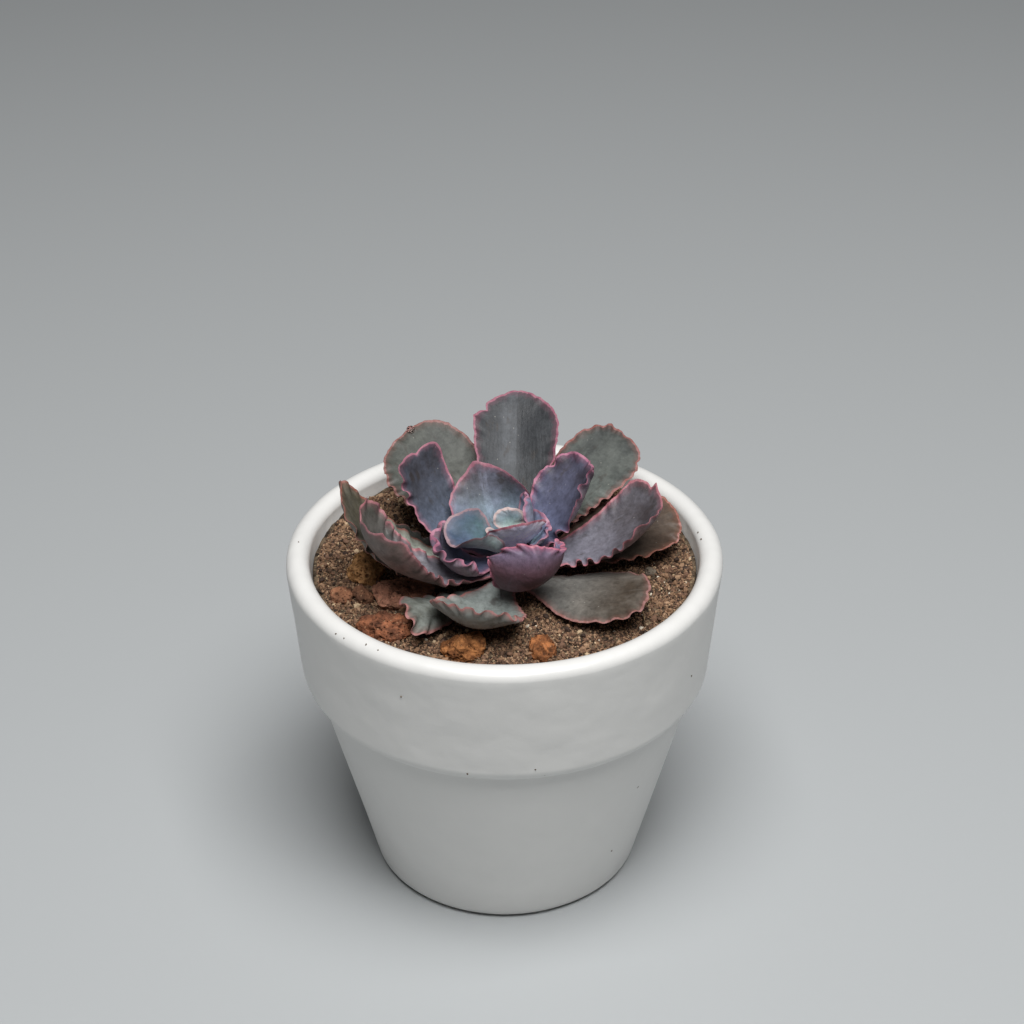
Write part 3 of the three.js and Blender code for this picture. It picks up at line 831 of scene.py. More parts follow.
@dataclass
class Soil:
    """The soil bed and the grains on it."""

    pot: Pot
    planting: Planting
    batches: int = 4
    grains: int = 9900
    gap: float = 0.3
    wall_margin: float = 1.6
    seed: int = 17

    def build_bed(self, effects: SharedEffects) -> bpy.types.Object:
        """The bed: rings from the middle to the wall, whose height is the soil's with its lumps, closed by
        a skirt that follows the pot's inside down to its floor."""
        rings, segments, gap = 110, 300, self.gap
        edge = self.pot.inner_radius(self.planting.soil_top) - gap
        radius = edge * np.linspace(0.0, 1.0, rings + 1)[1:]
        angle = np.linspace(0.0, 2.0 * math.pi, segments, endpoint=False)
        x, y = radius[:, None] * np.cos(angle), radius[:, None] * np.sin(angle)
        z = self.planting.surface(x, y)
        top = np.stack([x, y, z], axis=-1)
        levels = [self.pot.collar_foot, self.pot.floor + gap]
        skirt = []
        for level in levels:
            wide = self.pot.inner_radius(level) - gap
            ring = np.stack([wide * np.cos(angle), wide * np.sin(angle), np.full(segments, level)], axis=-1)
            skirt.append(ring[None])
        body = np.concatenate([top, *skirt])
        points = np.concatenate([body.reshape(-1, 3), [[0.0, 0.0, float(z[0].mean())], [0.0, 0.0, levels[1]]]])
        ids = joined_round(np.arange(body.shape[0] * segments).reshape(body.shape[0], segments))
        middle = fan_faces(len(points) - 2, ids[0])
        base = fan_faces(len(points) - 1, ids[-1], flip=True)
        piece = set_down("soil_bed", points, [grid_faces(ids), middle, base], Earth().build(effects))
        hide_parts("soil")
        return piece

    def grain_shape(self) -> tuple[np.ndarray, np.ndarray]:
        """A regular body of 12 corners and 20 faces, on the unit ball."""
        golden = (1.0 + math.sqrt(5.0)) / 2.0
        corners = np.array([
            [-1, golden, 0], [1, golden, 0], [-1, -golden, 0], [1, -golden, 0],
            [0, -1, golden], [0, 1, golden], [0, -1, -golden], [0, 1, -golden],
            [golden, 0, -1], [golden, 0, 1], [-golden, 0, -1], [-golden, 0, 1],
        ]) / math.sqrt(1.0 + golden**2)
        faces = np.array([
            [0, 11, 5], [0, 5, 1], [0, 1, 7], [0, 7, 10], [0, 10, 11],
            [1, 5, 9], [5, 11, 4], [11, 10, 2], [10, 7, 6], [7, 1, 8],
            [3, 9, 4], [3, 4, 2], [3, 2, 6], [3, 6, 8], [3, 8, 9],
            [4, 9, 5], [2, 4, 11], [6, 2, 10], [8, 6, 7], [9, 8, 1],
        ])
        return corners, faces

    def build_grains(self, batch: int, material: bpy.types.Material) -> bpy.types.Object:
        """One batch of grains: scattered evenly over the disc, each squeezed, jittered and turned its own way,
        and half sunk in the surface."""
        chance = np.random.default_rng(self.seed + batch)
        corners, faces = self.grain_shape()
        count = self.grains
        away = (self.pot.mouth_radius - self.wall_margin) * np.sqrt(chance.random(count))
        angle = chance.random(count) * 2.0 * math.pi
        x, y = away * np.cos(angle), away * np.sin(angle)
        size = 0.17 + 0.2 * chance.random(count) ** 1.5 + 0.5 * chance.random(count) ** 18
        squeeze = 0.6 + 0.6 * chance.random((count, 1, 3))
        jitter = 1.0 + 0.22 * chance.standard_normal((count, 12, 1)).clip(-1.5, 1.5)
        shape = corners[None] * squeeze * jitter * size[:, None, None]
        turn = chance.standard_normal((count, 4))
        turn /= np.linalg.norm(turn, axis=1, keepdims=True)
        w, v = turn[:, :1, None], turn[:, None, 1:]
        crossed = np.cross(np.broadcast_to(v, shape.shape), shape)
        shape = shape + 2.0 * w * crossed + 2.0 * np.cross(np.broadcast_to(v, shape.shape), crossed)
        ground = self.planting.surface(x, y)
        rise = ground + size * (0.1 + 0.7 * chance.random(count))
        points = shape + np.stack([x, y, rise], axis=-1)[:, None, :]
        every = (faces[None] + 12 * np.arange(count)[:, None, None]).reshape(-1, 3)
        values = {"tone": np.repeat(chance.random(count), 12)}
        piece = set_down(f"grit_{batch + 1}", points.reshape(-1, 3), [every], material, values, smooth=False)
        return piece

    def build(self, effects: SharedEffects) -> None:
        """Builds the bed and every batch of grains."""
        self.build_bed(effects)
        shades = (
            (0.0, "3d2e26"), (0.12, "5e4738"), (0.3, "775a48"), (0.5, "866850"),
            (0.7, "97775d"), (0.86, "a6866a"), (0.955, "bfa686"), (0.99, "dcd2bf"),
        )
        material = Grit("grit", shades).build(effects)
        for batch in range(self.batches):
            self.build_grains(batch, material)


@dataclass
class Litter:
    """Twigs and rootlets on the soil, and crumbs of soil on the pot, in millimetres and degrees."""

    pot: Pot
    planting: Planting
    soil: Soil
    rootlets: int = 26
    root_spread: float = 41.0
    root_limit: float = 42.5
    sides: int = 7
    steps: int = 14
    seed: int = 91

    TWIG = ((-42.2, -15.6, 83.0), (-41.2, -14.8, 81.2), (-40.6, -12.4, 79.5))
    TWIG_RADIUS = 0.28
    LONG_ROOT = ((29.6, -19.4, 80.2), (31.2, -22.5, 82.2), (31.0, -26.0, 79.8))
    LONG_ROOT_RADIUS = 0.26

    # Each crumb: its angle round the axis, radius, height and size.
    CRUMBS = (
        (177, 47.4, 84.0, 0.3), (222, 49.4, 83.0, 0.3), (225, 49.3, 83.1, 0.25), (232, 48.5, 83.7, 0.34),
        (236, 48.6, 83.7, 0.28), (9, 45.4, 83.2, 0.36), (5, 45.5, 83.4, 0.3), (330, 48.4, 65.0, 0.3),
        (260, 47.4, 55.0, 0.28), (243, 49.3, 74.0, 0.26), (278, 47.6, 56.5, 0.24), (315, 35.1, 15.0, 0.32),
    )

    def tube(
        self, start: np.ndarray, middle: np.ndarray, end: np.ndarray, radius: float
    ) -> tuple[np.ndarray, np.ndarray, np.ndarray]:
        """A thin closed tube along the parabola that three points guide, thinning to a half.

        Args:
            start: where it begins.
            middle: the point that it bends towards.
            end: where it ends.
            radius: how thick it begins.

        Returns:
            The vertices, ring after ring with the first and the last drawn almost to a point, the
            four-sided faces between the rings, and the three-sided faces that close the ends.
        """
        t = np.linspace(0.0, 1.0, self.steps)[:, None]
        line = (1.0 - t) ** 2 * start + 2.0 * t * (1.0 - t) * middle + t**2 * end
        along = np.gradient(line, axis=0)
        along /= np.linalg.norm(along, axis=1, keepdims=True)
        side = np.cross(along, np.array([0.13, 0.21, 1.0]))
        side /= np.linalg.norm(side, axis=1, keepdims=True)
        other = np.cross(side, along)
        angle = np.linspace(0.0, 2.0 * math.pi, self.sides, endpoint=False)
        thick = radius * (1.0 - 0.5 * t) * np.where((t == 0.0) | (t == 1.0), 0.05, 1.0)
        ring = side[:, None, :] * np.cos(angle)[None, :, None] + other[:, None, :] * np.sin(angle)[None, :, None]
        points = line[:, None, :] + ring * thick[:, None, :]
        ids = np.arange(self.steps * self.sides).reshape(self.steps, self.sides)
        caps = np.concatenate([fan_faces(ids[0, 0], ids[0, 1:], flip=True), fan_faces(ids[-1, 0], ids[-1, 1:])])
        return points.reshape(-1, 3), grid_faces(joined_round(ids)), caps

    def build_tubes(
        self, name: str, tubes: list[tuple[np.ndarray, np.ndarray, np.ndarray]], finish: Bark, effects: SharedEffects
    ) -> None:
        """Sets several tubes down as one piece."""
        points = np.concatenate([tube[0] for tube in tubes])
        starts = np.cumsum([0] + [len(tube[0]) for tube in tubes[:-1]])
        sides, caps = (np.concatenate([tube[k] + start for tube, start in zip(tubes, starts)]) for k in (1, 2))
        piece = set_down(name, points, [sides, caps], finish.build(effects))

    def build(self, effects: SharedEffects) -> None:
        """Builds a dark twig that leans on the pot's lip, pale rootlets and the crumbs."""
        twig = self.tube(*np.array(self.TWIG), self.TWIG_RADIUS)
        self.build_tubes("twig", [twig], Bark("twig_bark", "1d1712", "40342a"), effects)
        chance = np.random.default_rng(self.seed)
        pale = [self.tube(*np.array(self.LONG_ROOT), self.LONG_ROOT_RADIUS)]
        for _ in range(self.rootlets):
            away = self.root_spread * math.sqrt(chance.random())
            angle = chance.random() * 2.0 * math.pi
            turn = chance.random() * 2.0 * math.pi
            length = 1.2 + 2.6 * chance.random()
            step = 0.5 * length * np.array([math.cos(turn), math.sin(turn)])
            bow = 0.35 * length * (chance.random() - 0.5) * np.array([-math.sin(turn), math.cos(turn)])
            middle = away * np.array([math.cos(angle), math.sin(angle)])
            if np.linalg.norm(middle) + length / 2 > self.root_limit:
                middle *= 0.9
            flat = np.stack([middle - step, middle + bow, middle + step])
            height = self.planting.surface(flat[:, 0], flat[:, 1])
            places = np.concatenate([flat, (height + np.array([0.15, 0.55, 0.15]))[:, None]], axis=1)
            pale.append(self.tube(*places, 0.09 + 0.08 * chance.random()))
        self.build_tubes("rootlets", pale, Bark("dry_root", "5e4a36", "b0946e"), effects)
        self.build_crumbs(effects)

    def build_crumbs(self, effects: SharedEffects) -> None:
        """Crumbs stuck to the pot: small jittered grains."""
        spots = np.array(self.CRUMBS)
        chance = np.random.default_rng(self.seed + 1)
        corners, faces = self.soil.grain_shape()
        angle = np.radians(spots[:, 0])
        middle = np.stack([spots[:, 1] * np.cos(angle), spots[:, 1] * np.sin(angle), spots[:, 2]], axis=-1)
        shape = corners[None] * (0.5 + 0.5 * chance.random((len(spots), 12, 1))) * spots[:, 3][:, None, None]
        points = (middle[:, None, :] + shape).reshape(-1, 3)
        every = (faces[None] + 12 * np.arange(len(spots))[:, None, None]).reshape(-1, 3)
        finish = Earth("dark_crumb", "54483c", "7d6e5e").build(effects)
        piece = set_down("crumbs", points, [every], finish, smooth=False)


@dataclass
class Stone:
    """A porous stone lying in the soil, in millimetres and degrees."""

    name: str
    at: tuple[float, float]
    rise: float
    half: Triple
    turn: float
    tilt: float
    seed: int
    color: str
    second: str

    LARGE = 3.0
    FLATS = 16

    def build(self, effects: SharedEffects, planting: Planting) -> bpy.types.Object:
        """A unit ball made lumpy and squarer: scaled by (0.93 + 0.045 waves) over a soft power of its
        directions, cut back by flat sides, then roughened by noise and pitted where scattered seeds are
        near."""
        large = self.half[0] > self.LARGE
        chance = np.random.default_rng(self.seed)
        sides = chance.standard_normal((self.FLATS, 3))
        sides /= np.linalg.norm(sides, axis=1, keepdims=True)
        depth = 0.74 + 0.2 * chance.random(self.FLATS)
        p, faces = ball(110 if large else 56, 200 if large else 96)
        phases = (self.seed, 1.7 * self.seed, 2.3 * self.seed)
        waves = sum(np.sin(rate * p[:, k] + phase) for k, (rate, phase) in enumerate(zip((3.1, 2.7, 3.5), phases)))
        squarer = np.sum(np.abs(p) ** 4, axis=1) ** 0.14
        size = np.array(self.half)
        lumpy = (0.93 + 0.045 * waves) / squarer
        facing = np.maximum(p @ sides.T, 0.02)
        cut = np.min(np.concatenate([depth / facing, np.full((len(p), 1), 1.4)], axis=1), axis=1)
        out = p * np.minimum(lumpy, 1.12 * cut)[:, None] * size
        crags = 0.7 * rough_noise(out / 3.4, self.seed, 2) + 0.5 * rough_noise(out / 1.1, self.seed + 3, 3)
        crags = np.round(crags * 2.2) / 2.2 * 0.35 + crags * 0.65
        pores = smooth_step(pit_distance(out / 0.7, self.seed + 9), 0.36, 0.16)
        big = smooth_step(pit_distance(out / 2.3, self.seed + 21), 0.26, 0.14)
        pit = np.maximum(pores * (smooth_noise(out / 1.7, self.seed + 5) > -0.2), big)
        shrink = min(1.0, float(size.min()) / self.LARGE)
        out = out + p * ((0.8 * crags - 0.55 * pit) * shrink)[:, None]
        out = turn_about(turn_about(out, "X", self.tilt), "Z", self.turn)
        out = out + np.array([self.at[0], self.at[1], planting.soil_top + self.rise])
        rock = Rock(self.name + "_rock", self.color, self.second).build(effects)
        piece = set_down(self.name + "_porous", out, faces, rock, {"pit": pit})
        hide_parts(self.name)
        return piece


# ---------------------------------------------------------------- leaves

MOSS = LeafSkin(heart="5f5e59", tip="494b46", under="544f4c", margin="7c5047", wax="62645e")
OLIVE = LeafSkin(heart="6c736d", tip="444745", under="544f4c", margin="85524a", wax="6d716a", bloom=0.3)
# OCHRE's heart colour is painted pale: painted light on the shaded lower part of the leaf near its foot.
OCHRE = LeafSkin(heart="c0c6ba", tip="565143", under="6b6560", margin="84503f", wax="83857f", bloom=0.2)
RUST = LeafSkin(heart="625a50", tip="4c3d33", under="544f4c", margin="8f5746", wax="665c50", bloom=0.3)
SLATE = LeafSkin(heart="3d3f41", tip="35373a", under="44424a", margin="8c4e63", wax="4a4c4f", bloom=0.3,
                 ray=0.75, ray_at=(-0.2, 5.4))
GREY = LeafSkin(heart="706f6b", tip="4a4036", under="5f5a55", margin="8a5d55", wax="77726b", bloom=0.45)
ASH = LeafSkin(heart="7f8683", tip="686b63", under="807b76", margin="92605a", wax="8c918f")
HUSK = LeafSkin(heart="85838f", tip="55544d", under="6c5450", margin="a2676d", wax="75706e")
MAUVE = LeafSkin(heart="85838f", tip="484244", under="6d4f4c", margin="a8656f", wax="7f7f8a", bloom=0.4)
VIOLET = LeafSkin(heart="646984", tip="3f3a44", under="91828b", margin="a56680", wax="666b84", bloom=0.4)
DUSK = LeafSkin(heart="606c7e", tip="494950", under="6a6070", margin="b37386", wax="5a6274", bloom=0.45)
BLUE = LeafSkin(heart="8099a6", tip="6c7690", under="80838f", margin="a06e85", wax="8e9ab4", bloom=0.5, stain=0.15)
STEEL = LeafSkin(heart="7b93a0", tip="5b5a60", under="75767f", margin="9d6274", wax="777c90", bloom=0.5,
                 ray=0.4, ray_at=(-1.0, 3.4))
# FRONT's lower-face colour is painted almost white: painted light on that face, which lies in shade.
FRONT = LeafSkin(heart="8a94b0", tip="86849a", under="f0f2ff", margin="a0606f", wax="c4c8e6", bloom=0.3, stain=0.1)
# CUP's lower-face colour is painted pale teal: painted light on that face, which lies in shade.
CUP = LeafSkin(heart="53706b", tip="48586c", under="c4d6d2", margin="8e777e", wax="56607a", bloom=0.5, stain=0.05)
TEAL = LeafSkin(heart="9db3a5", tip="7a8d96", under="94a6aa", margin="bdaaa6", wax="94a2b2", bloom=0.35, stain=0.05)
PLUM = LeafSkin(heart="66627c", tip="706a84", under="603f49", margin="ad6077", wax="70616e", bloom=0.25,
                stained="2c1f24", blush=0.5)


@dataclass
class Leaf:
    """A leaf: a flat blade bent in space, with a frilled margin. Sizes in millimetres, angles in degrees.

    azimuth is where it points, seen from above, from +X round to +Y, and sweep how that turns by the tip.
    seat is how far its foot is from the stem's axis and above the soil, rise its slope at the foot and at
    the tip, bend how late the slope changes, roll its tilt about its own length, left side up, and cup how
    far round an arc each half of the blade bends up. widest is where along the length it is widest, neck
    the foot's width as a share of the blade's, square how blunt its end is and skew how far that slants.
    ruffle is the height of the margin's waves on its right side, its tip and its left side, pitch a
    wave's length and depth how far in the waves reach. fold is the slope of a crease along the midrib,
    and spikes are (station, height, width) of points and notches, where a station goes from -1 at the
    right of the foot over 0 at the tip to 1 at the left of the foot.
    blots are dark patches: the share of the length, the way across, and half their length and width.
    """

    name: str
    azimuth: float
    length: float
    width: float
    seat: tuple[float, float]
    rise: tuple[float, float]
    roll: tuple[float, float]
    cup: float
    widest: float
    neck: float
    skin: LeafSkin
    sweep: float = 0.0
    bend: float = 1.0
    square: float = 2.3
    skew: float = 0.0
    thickness: float = 1.5
    ruffle: Triple = (0.4, 0.4, 0.4)
    pitch: float = 4.4
    depth: float = 2.1
    fold: float = 0.0
    spikes: tuple[Triple, ...] = ()
    blots: tuple[tuple[float, float, float, float], ...] = ()
    seed: int = 1

    # The fan's lines leave the midrib up to RIB_END of its length, bunched by RIB_SPREAD towards the tip.
    RIB_END = 0.84
    RIB_SPREAD = 1.4

    # A margin is taken to be RUN_SHARE lengths long, and has a line each STATION_STEP or closer.
    RUN_SHARE = 2.4
    STATION_STEP = 0.62
    LEAST_STATIONS = 60
    REACHES = 25
    EDGE_BUNCHING = 1.7

    def margin(self, station: np.ndarray) -> np.ndarray:
        """The flat outline at each station, at even steps of its own length from the tip to either foot.

        From the tip to the widest place it is a quarter of a superellipse, and from there to the foot the
        width eases down to the neck's.
        """
        half = self.width / 2
        wide = self.widest * self.length
        angle = np.linspace(0.0, math.pi / 2, 400)
        power = 2.0 / self.square
        ahead = wide + (self.length - wide) * np.cos(angle).clip(0) ** power
        front = np.stack([ahead, half * np.sin(angle) ** power], axis=-1)
        along = np.linspace(1.0, 0.0, 300)[1:]
        share = self.neck + (1.0 - self.neck) * np.sin(along * math.pi / 2) ** 1.6
        line = np.concatenate([front, np.stack([wide * along, half * share], axis=-1)])
        run = np.concatenate([[0.0], np.cumsum(np.linalg.norm(np.diff(line, axis=0), axis=1))])
        self.half_run = float(run[-1])
        stop = np.abs(station) * run[-1]
        across = np.sign(station) * np.interp(stop, run, line[:, 1])
        return np.stack([np.interp(stop, run, line[:, 0]), across], axis=-1)

    def by_side(self, values: Triple, station: np.ndarray) -> np.ndarray:
        """Blends a right, tip and left value along the margin, easing to nothing at the foot."""
        blended = np.interp(station, [-0.5, -0.12, 0.12, 0.5], [values[0], values[1], values[1], values[2]])
        return blended * smooth_step(np.abs(station), 0.97, 0.72)

    def slopes(self, share: np.ndarray) -> tuple[np.ndarray, np.ndarray]:
        """The midrib's slope and direction, in radians, at shares of the length."""
        rise = self.rise[0] + (self.rise[1] - self.rise[0]) * np.maximum(share, 0.0) ** self.bend
        return np.radians(rise), np.radians(self.azimuth + self.sweep * share)

    def bent(self, x: np.ndarray, y: np.ndarray, lift: np.ndarray, planting: Planting) -> np.ndarray:
        """Places flat points in space: x runs along the midrib, which is summed up from its slopes, y goes
        round the cup's arc across it, and lift stands along the normal there."""
        steps, beyond = 480, 1.25
        rise, azimuth = self.slopes((np.arange(steps) + 0.5) / steps * beyond)
        step = self.length * beyond / steps
        move = step * np.stack([np.cos(rise) * np.cos(azimuth), np.cos(rise) * np.sin(azimuth), np.sin(rise)], axis=-1)
        foot = math.radians(self.azimuth)
        start = [planting.stem_x + self.seat[0] * math.cos(foot), planting.stem_y + self.seat[0] * math.sin(foot),
                 planting.soil_top + self.seat[1]]
        spine = np.concatenate([[start], start + np.cumsum(move, axis=0)])
        share = x / self.length
        stop = np.clip(share / beyond * steps, 0.0, steps)
        middle = np.stack([np.interp(stop, np.arange(steps + 1), spine[:, k]) for k in range(3)], axis=-1)
        rise, azimuth = self.slopes(share)
        along = np.stack([np.cos(rise) * np.cos(azimuth), np.cos(rise) * np.sin(azimuth), np.sin(rise)], axis=-1)
        left = np.stack([-np.sin(azimuth), np.cos(azimuth), np.zeros_like(azimuth)], axis=-1)
        up = np.cross(along, left)
        roll = np.radians(self.roll[0] + (self.roll[1] - self.roll[0]) * share)[..., None]
        left, up = left * np.cos(roll) + up * np.sin(roll), up * np.cos(roll) - left * np.sin(roll)
        curve = math.radians(self.cup or 0.1) / (self.width / 2)
        across = np.sin(curve * y) / curve - lift * np.sin(curve * y)
        raised = (1.0 - np.cos(curve * y)) / curve + lift * np.cos(curve * y)
        return middle + left * across[..., None] + up * raised[..., None]

    def frill(self, station: np.ndarray) -> tuple[np.ndarray, np.ndarray, np.ndarray, np.ndarray]:
        """The margin's waves. Their phase grows with the run along the margin and wanders with noise, and
        their height swells and sinks with slower noise. The margin slides along itself at twice the waves'
        rate, which makes their crests round and their flanks steep.

        Returns:
            How far the margin is lifted, pushed out, slid along, and pushed out by points and notches.
        """
        run = (station * self.half_run)[:, None]
        phase = 2.0 * math.pi * (run[:, 0] / self.pitch + 0.55 * smooth_noise(run / (2.1 * self.pitch), self.seed))
        swell = np.clip(0.62 + 1.0 * smooth_noise(run / (1.5 * self.pitch) + 50.0, self.seed + 3), 0.05, 1.6)
        ruffle = self.by_side(self.ruffle, station)
        small = smooth_noise(run / 1.6, self.seed + 5)
        lift = ruffle * (swell * np.sin(phase) + 0.35 * small)
        ragged = smooth_noise(run / 1.2, self.seed + 7) + 0.5 * smooth_noise(run / 0.6, self.seed + 8)
        out = -0.35 * ruffle * swell * np.sin(phase) ** 2 + (0.07 + 0.2 * ruffle) * ragged
        slide = -0.3 * ruffle * swell * np.sin(2.0 * phase)
        point = np.zeros_like(station)
        for place, height, width in self.spikes:
            away = np.abs(station - place) * self.half_run / width
            point = point + height * np.exp(-(away**1.5))
        return lift, out, slide, point

    def build(self, effects: SharedEffects, planting: Planting) -> bpy.types.Object:
        """Builds the leaf on a fan of lines from the midrib to the margin, closer together near the margin,
        with an upper and a lower face that meet there, half a thickness times
        (1 - reach to the 2.5) to the 0.85 away from the middle surface."""
        half_count = int(max(self.LEAST_STATIONS, self.length * self.RUN_SHARE / self.STATION_STEP))
        station = np.linspace(-1.0, 1.0, 2 * half_count + 1)
        reach = 1.0 - (1.0 - np.linspace(0.0, 1.0, self.REACHES)) ** self.EDGE_BUNCHING
        line = self.margin(station)
        leaving = self.RIB_END * self.length * (1.0 - np.abs(station) ** self.RIB_SPREAD)
        rib = np.stack([leaving, np.zeros_like(station)], axis=-1)
        lift, out, slide, point = self.frill(station)
        outward = line - rib
        outward /= np.maximum(np.linalg.norm(outward, axis=1, keepdims=True), 1e-6)
        flat = rib[:, None, :] + (line - rib)[:, None, :] * reach[None, :, None]
        edge = self.edge_distance(flat, line)
        near = np.exp(-((edge / self.depth) ** 2)) * smooth_step(reach, 0.0, 0.35)[None, :]
        close = np.exp(-((edge / 1.5) ** 2)) * smooth_step(reach, 0.0, 0.5)[None, :]
        push = out[:, None] * near + point[:, None] * close
        tangent = np.gradient(line, axis=0)
        tangent /= np.maximum(np.linalg.norm(tangent, axis=1, keepdims=True), 1e-6)
        flat = flat + outward[:, None, :] * push[..., None] + tangent[:, None, :] * (slide[:, None] * near)[..., None]
        x = flat[..., 0] + math.tan(math.radians(self.skew)) * flat[..., 1] * (flat[..., 0] / self.length) ** 2
        y = flat[..., 1]
        dips = 0.35 * smooth_noise(np.stack([x / 7.0, y / 6.0], axis=-1) + self.seed, self.seed + 11)
        crease = self.fold * (np.sqrt(y**2 + 0.5) - math.sqrt(0.5))
        rise = lift[:, None] * near + dips * smooth_step(x / self.length, 0.1, 0.5) + crease
        half = self.thickness / 2 * ((1.0 - reach**2.5) ** 0.85)[None, :]
        upper = self.bent(x, y, rise + half, planting)
        lower = self.bent(x, y, rise - half, planting)
        return self.close_up(upper, lower, x, y, edge, effects)

    def edge_distance(self, flat: np.ndarray, line: np.ndarray) -> np.ndarray:
        """How far each flat point is from the outline, in millimetres."""
        places = line[::2]
        gap = flat.reshape(-1, 1, 2) - places[None]
        return np.sqrt(np.min(np.sum(gap**2, axis=-1), axis=1)).reshape(flat.shape[:2])

    def stained(self, x: np.ndarray, y: np.ndarray) -> np.ndarray:
        """How far each flat point lies in a dark patch: the distance to the patch's middle, in parts of its
        half length and width, with a ragged edge of noise."""
        ragged = 0.45 * rough_noise(np.stack([x, y], axis=-1) / 1.1, self.seed + 15, 3)
        dark = np.zeros_like(x)
        for share, across, long, wide in self.blots:
            away = np.hypot((x - share * self.length) / long, (y - across) / wide)
            dark = np.maximum(dark, smooth_step(away + ragged, 1.05, 0.6))
        return dark

    @staticmethod
    def on_both_faces(data: np.ndarray, used: np.ndarray) -> np.ndarray:
        """Gives the upper and the lower face the same values, and keeps those of the vertices in use."""
        return np.concatenate([data.reshape(-1), data.reshape(-1)])[used]

    def close_up(
        self,
        upper: np.ndarray,
        lower: np.ndarray,
        x: np.ndarray,
        y: np.ndarray,
        edge: np.ndarray,
        effects: SharedEffects,
    ) -> bpy.types.Object:
        """Joins the two faces along the margin, the two sides along the midrib, and closes the foot.

        Args:
            upper: the upper face's points in space, a row for each station.
            lower: the lower face's.
            x: where each point lies along the flat blade.
            y: where it lies across it.
            edge: how far it is from the outline.
            effects: the shared node groups.

        Returns:
            The leaf.
        """
        rows, columns = x.shape
        top = np.arange(rows * columns).reshape(rows, columns)
        bottom = top + rows * columns
        mirror = np.minimum(np.arange(rows), rows - 1 - np.arange(rows))
        top[:, 0] = top[mirror, 0]
        bottom[:, 0] = bottom[mirror, 0]
        bottom[:, -1] = top[:, -1]
        feet = [
            np.stack([top[row, :-1], top[row, 1:], bottom[row, 1:], bottom[row, :-1]], axis=-1)
            for row in (0, rows - 1)
        ]
        feet[1] = feet[1][:, ::-1]
        faces = np.concatenate([grid_faces(top), grid_faces(bottom)[:, ::-1], feet[0][:-1], feet[1][:-1]])
        ends = np.concatenate([feet[0][-1:][:, [0, 1, 3]], feet[1][-1:][:, [0, 2, 3]]])
        used, renumbered = np.unique(np.concatenate([faces.ravel(), ends.ravel()]), return_inverse=True)
        points = np.concatenate([upper.reshape(-1, 3), lower.reshape(-1, 3)])[used]
        along, across = self.on_both_faces(x, used), self.on_both_faces(y, used)
        values = {
            "flat": np.stack([along, across, np.zeros(len(used))], axis=-1),
            "edge": self.on_both_faces(edge, used),
            "blot": self.on_both_faces(self.stained(x, y), used),
            "share": self.on_both_faces(x / self.length, used),
            "face": np.concatenate([np.ones(x.size), np.zeros(x.size)])[used],
        }
        quads = renumbered[: faces.size].reshape(-1, 4)
        tris = renumbered[faces.size :].reshape(-1, 3)
        material = self.skin.build(self.name, 3.7 * self.seed, effects)
        piece = set_down(self.name + "_blade", points, [quads, tris], material, values)
        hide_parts(self.name)
        return piece


# The leaf rows repeat the CAD's leaf table. Its numbers came from a fitting program and were rounded.


def outer_leaves() -> list[Leaf]:
    """The outer whorl, from the back round to the right, and two old leaves low down."""
    return [
        Leaf("leaf_back", 88, 40, 21.5, (5.4, 6.8), (30, 37), (2, -7), 24, 0.74, 0.3, SLATE, square=1.7, skew=3,
             ruffle=(0.3, 0.35, 0.35), fold=0.12, spikes=((0.22, -1.2, 0.9), (0.29, 0.7, 0.9)), seed=2),
        Leaf("leaf_back_left", 125, 40, 24, (5.8, 5.3), (17, 26), (5, -15), 20, 0.66, 0.34, MOSS, sweep=4, skew=-10,
             ruffle=(0.25, 0.35, 0.6), seed=3),
        Leaf("leaf_left", 181, 41, 20.4, (6, 3.8), (-2, 71), (-3, -5), 22, 0.72, 0.34, OCHRE, sweep=9, bend=1.1,
             square=3, skew=-16, ruffle=(0.4, 0.5, 0.45), spikes=((0.14, 1.6, 0.8), (-0.1, 0.8, 0.9)), seed=4),
        Leaf("leaf_front_left_low", 216, 27.5, 12, (5.8, 2), (-3, 27), (6, -26), -24, 0.85, 0.28, ASH, sweep=19,
             square=2.9, skew=28, ruffle=(0.5, 0.6, 0.6), seed=5),
        Leaf("leaf_front", 246, 31, 22.5, (5.8, 3.6), (-11, 75), (-1, -6), 38, 0.57, 0.3, ASH, sweep=18, bend=1.6,
             square=2.7, skew=-5, ruffle=(0.6, 0.6, 0.7), blots=((0.22, 0.5, 1.5, 1.1),), seed=6),
        Leaf("leaf_front_right", -28, 28.5, 21.5, (5.5, 2.4), (-3, 24), (0, 2), -8, 0.54, 0.38, GREY, sweep=6,
             square=2.7, skew=-13, ruffle=(0.5, 0.5, 0.25), seed=7),
        Leaf("leaf_right", 26, 36.5, 21, (6, 3.4), (6, 6), (-3, 17), 20, 0.65, 0.34, RUST, sweep=-2, skew=9,
             ruffle=(0.45, 0.5, 0.4), seed=8),
        Leaf("leaf_back_right", 60, 42, 19, (5.9, 5), (19, 16), (-7, 17), 12, 0.72, 0.28, OLIVE, sweep=-14, skew=6,
             ruffle=(0.35, 0.25, 0.25), spikes=((-0.2, -0.8, 0.9), (0.1, 0.7, 1.0)), seed=9),
        Leaf("leaf_left_low", 163, 30, 13.5, (5, 2), (-4, 43), (-2, 15), 2, 0.65, 0.34, MOSS, sweep=-2, skew=3,
             seed=10),
        Leaf("leaf_back_low", 71, 30, 17.5, (6, 2), (3, 12), (6, 0), 10, 0.62, 0.38, MOSS, seed=11),
    ]


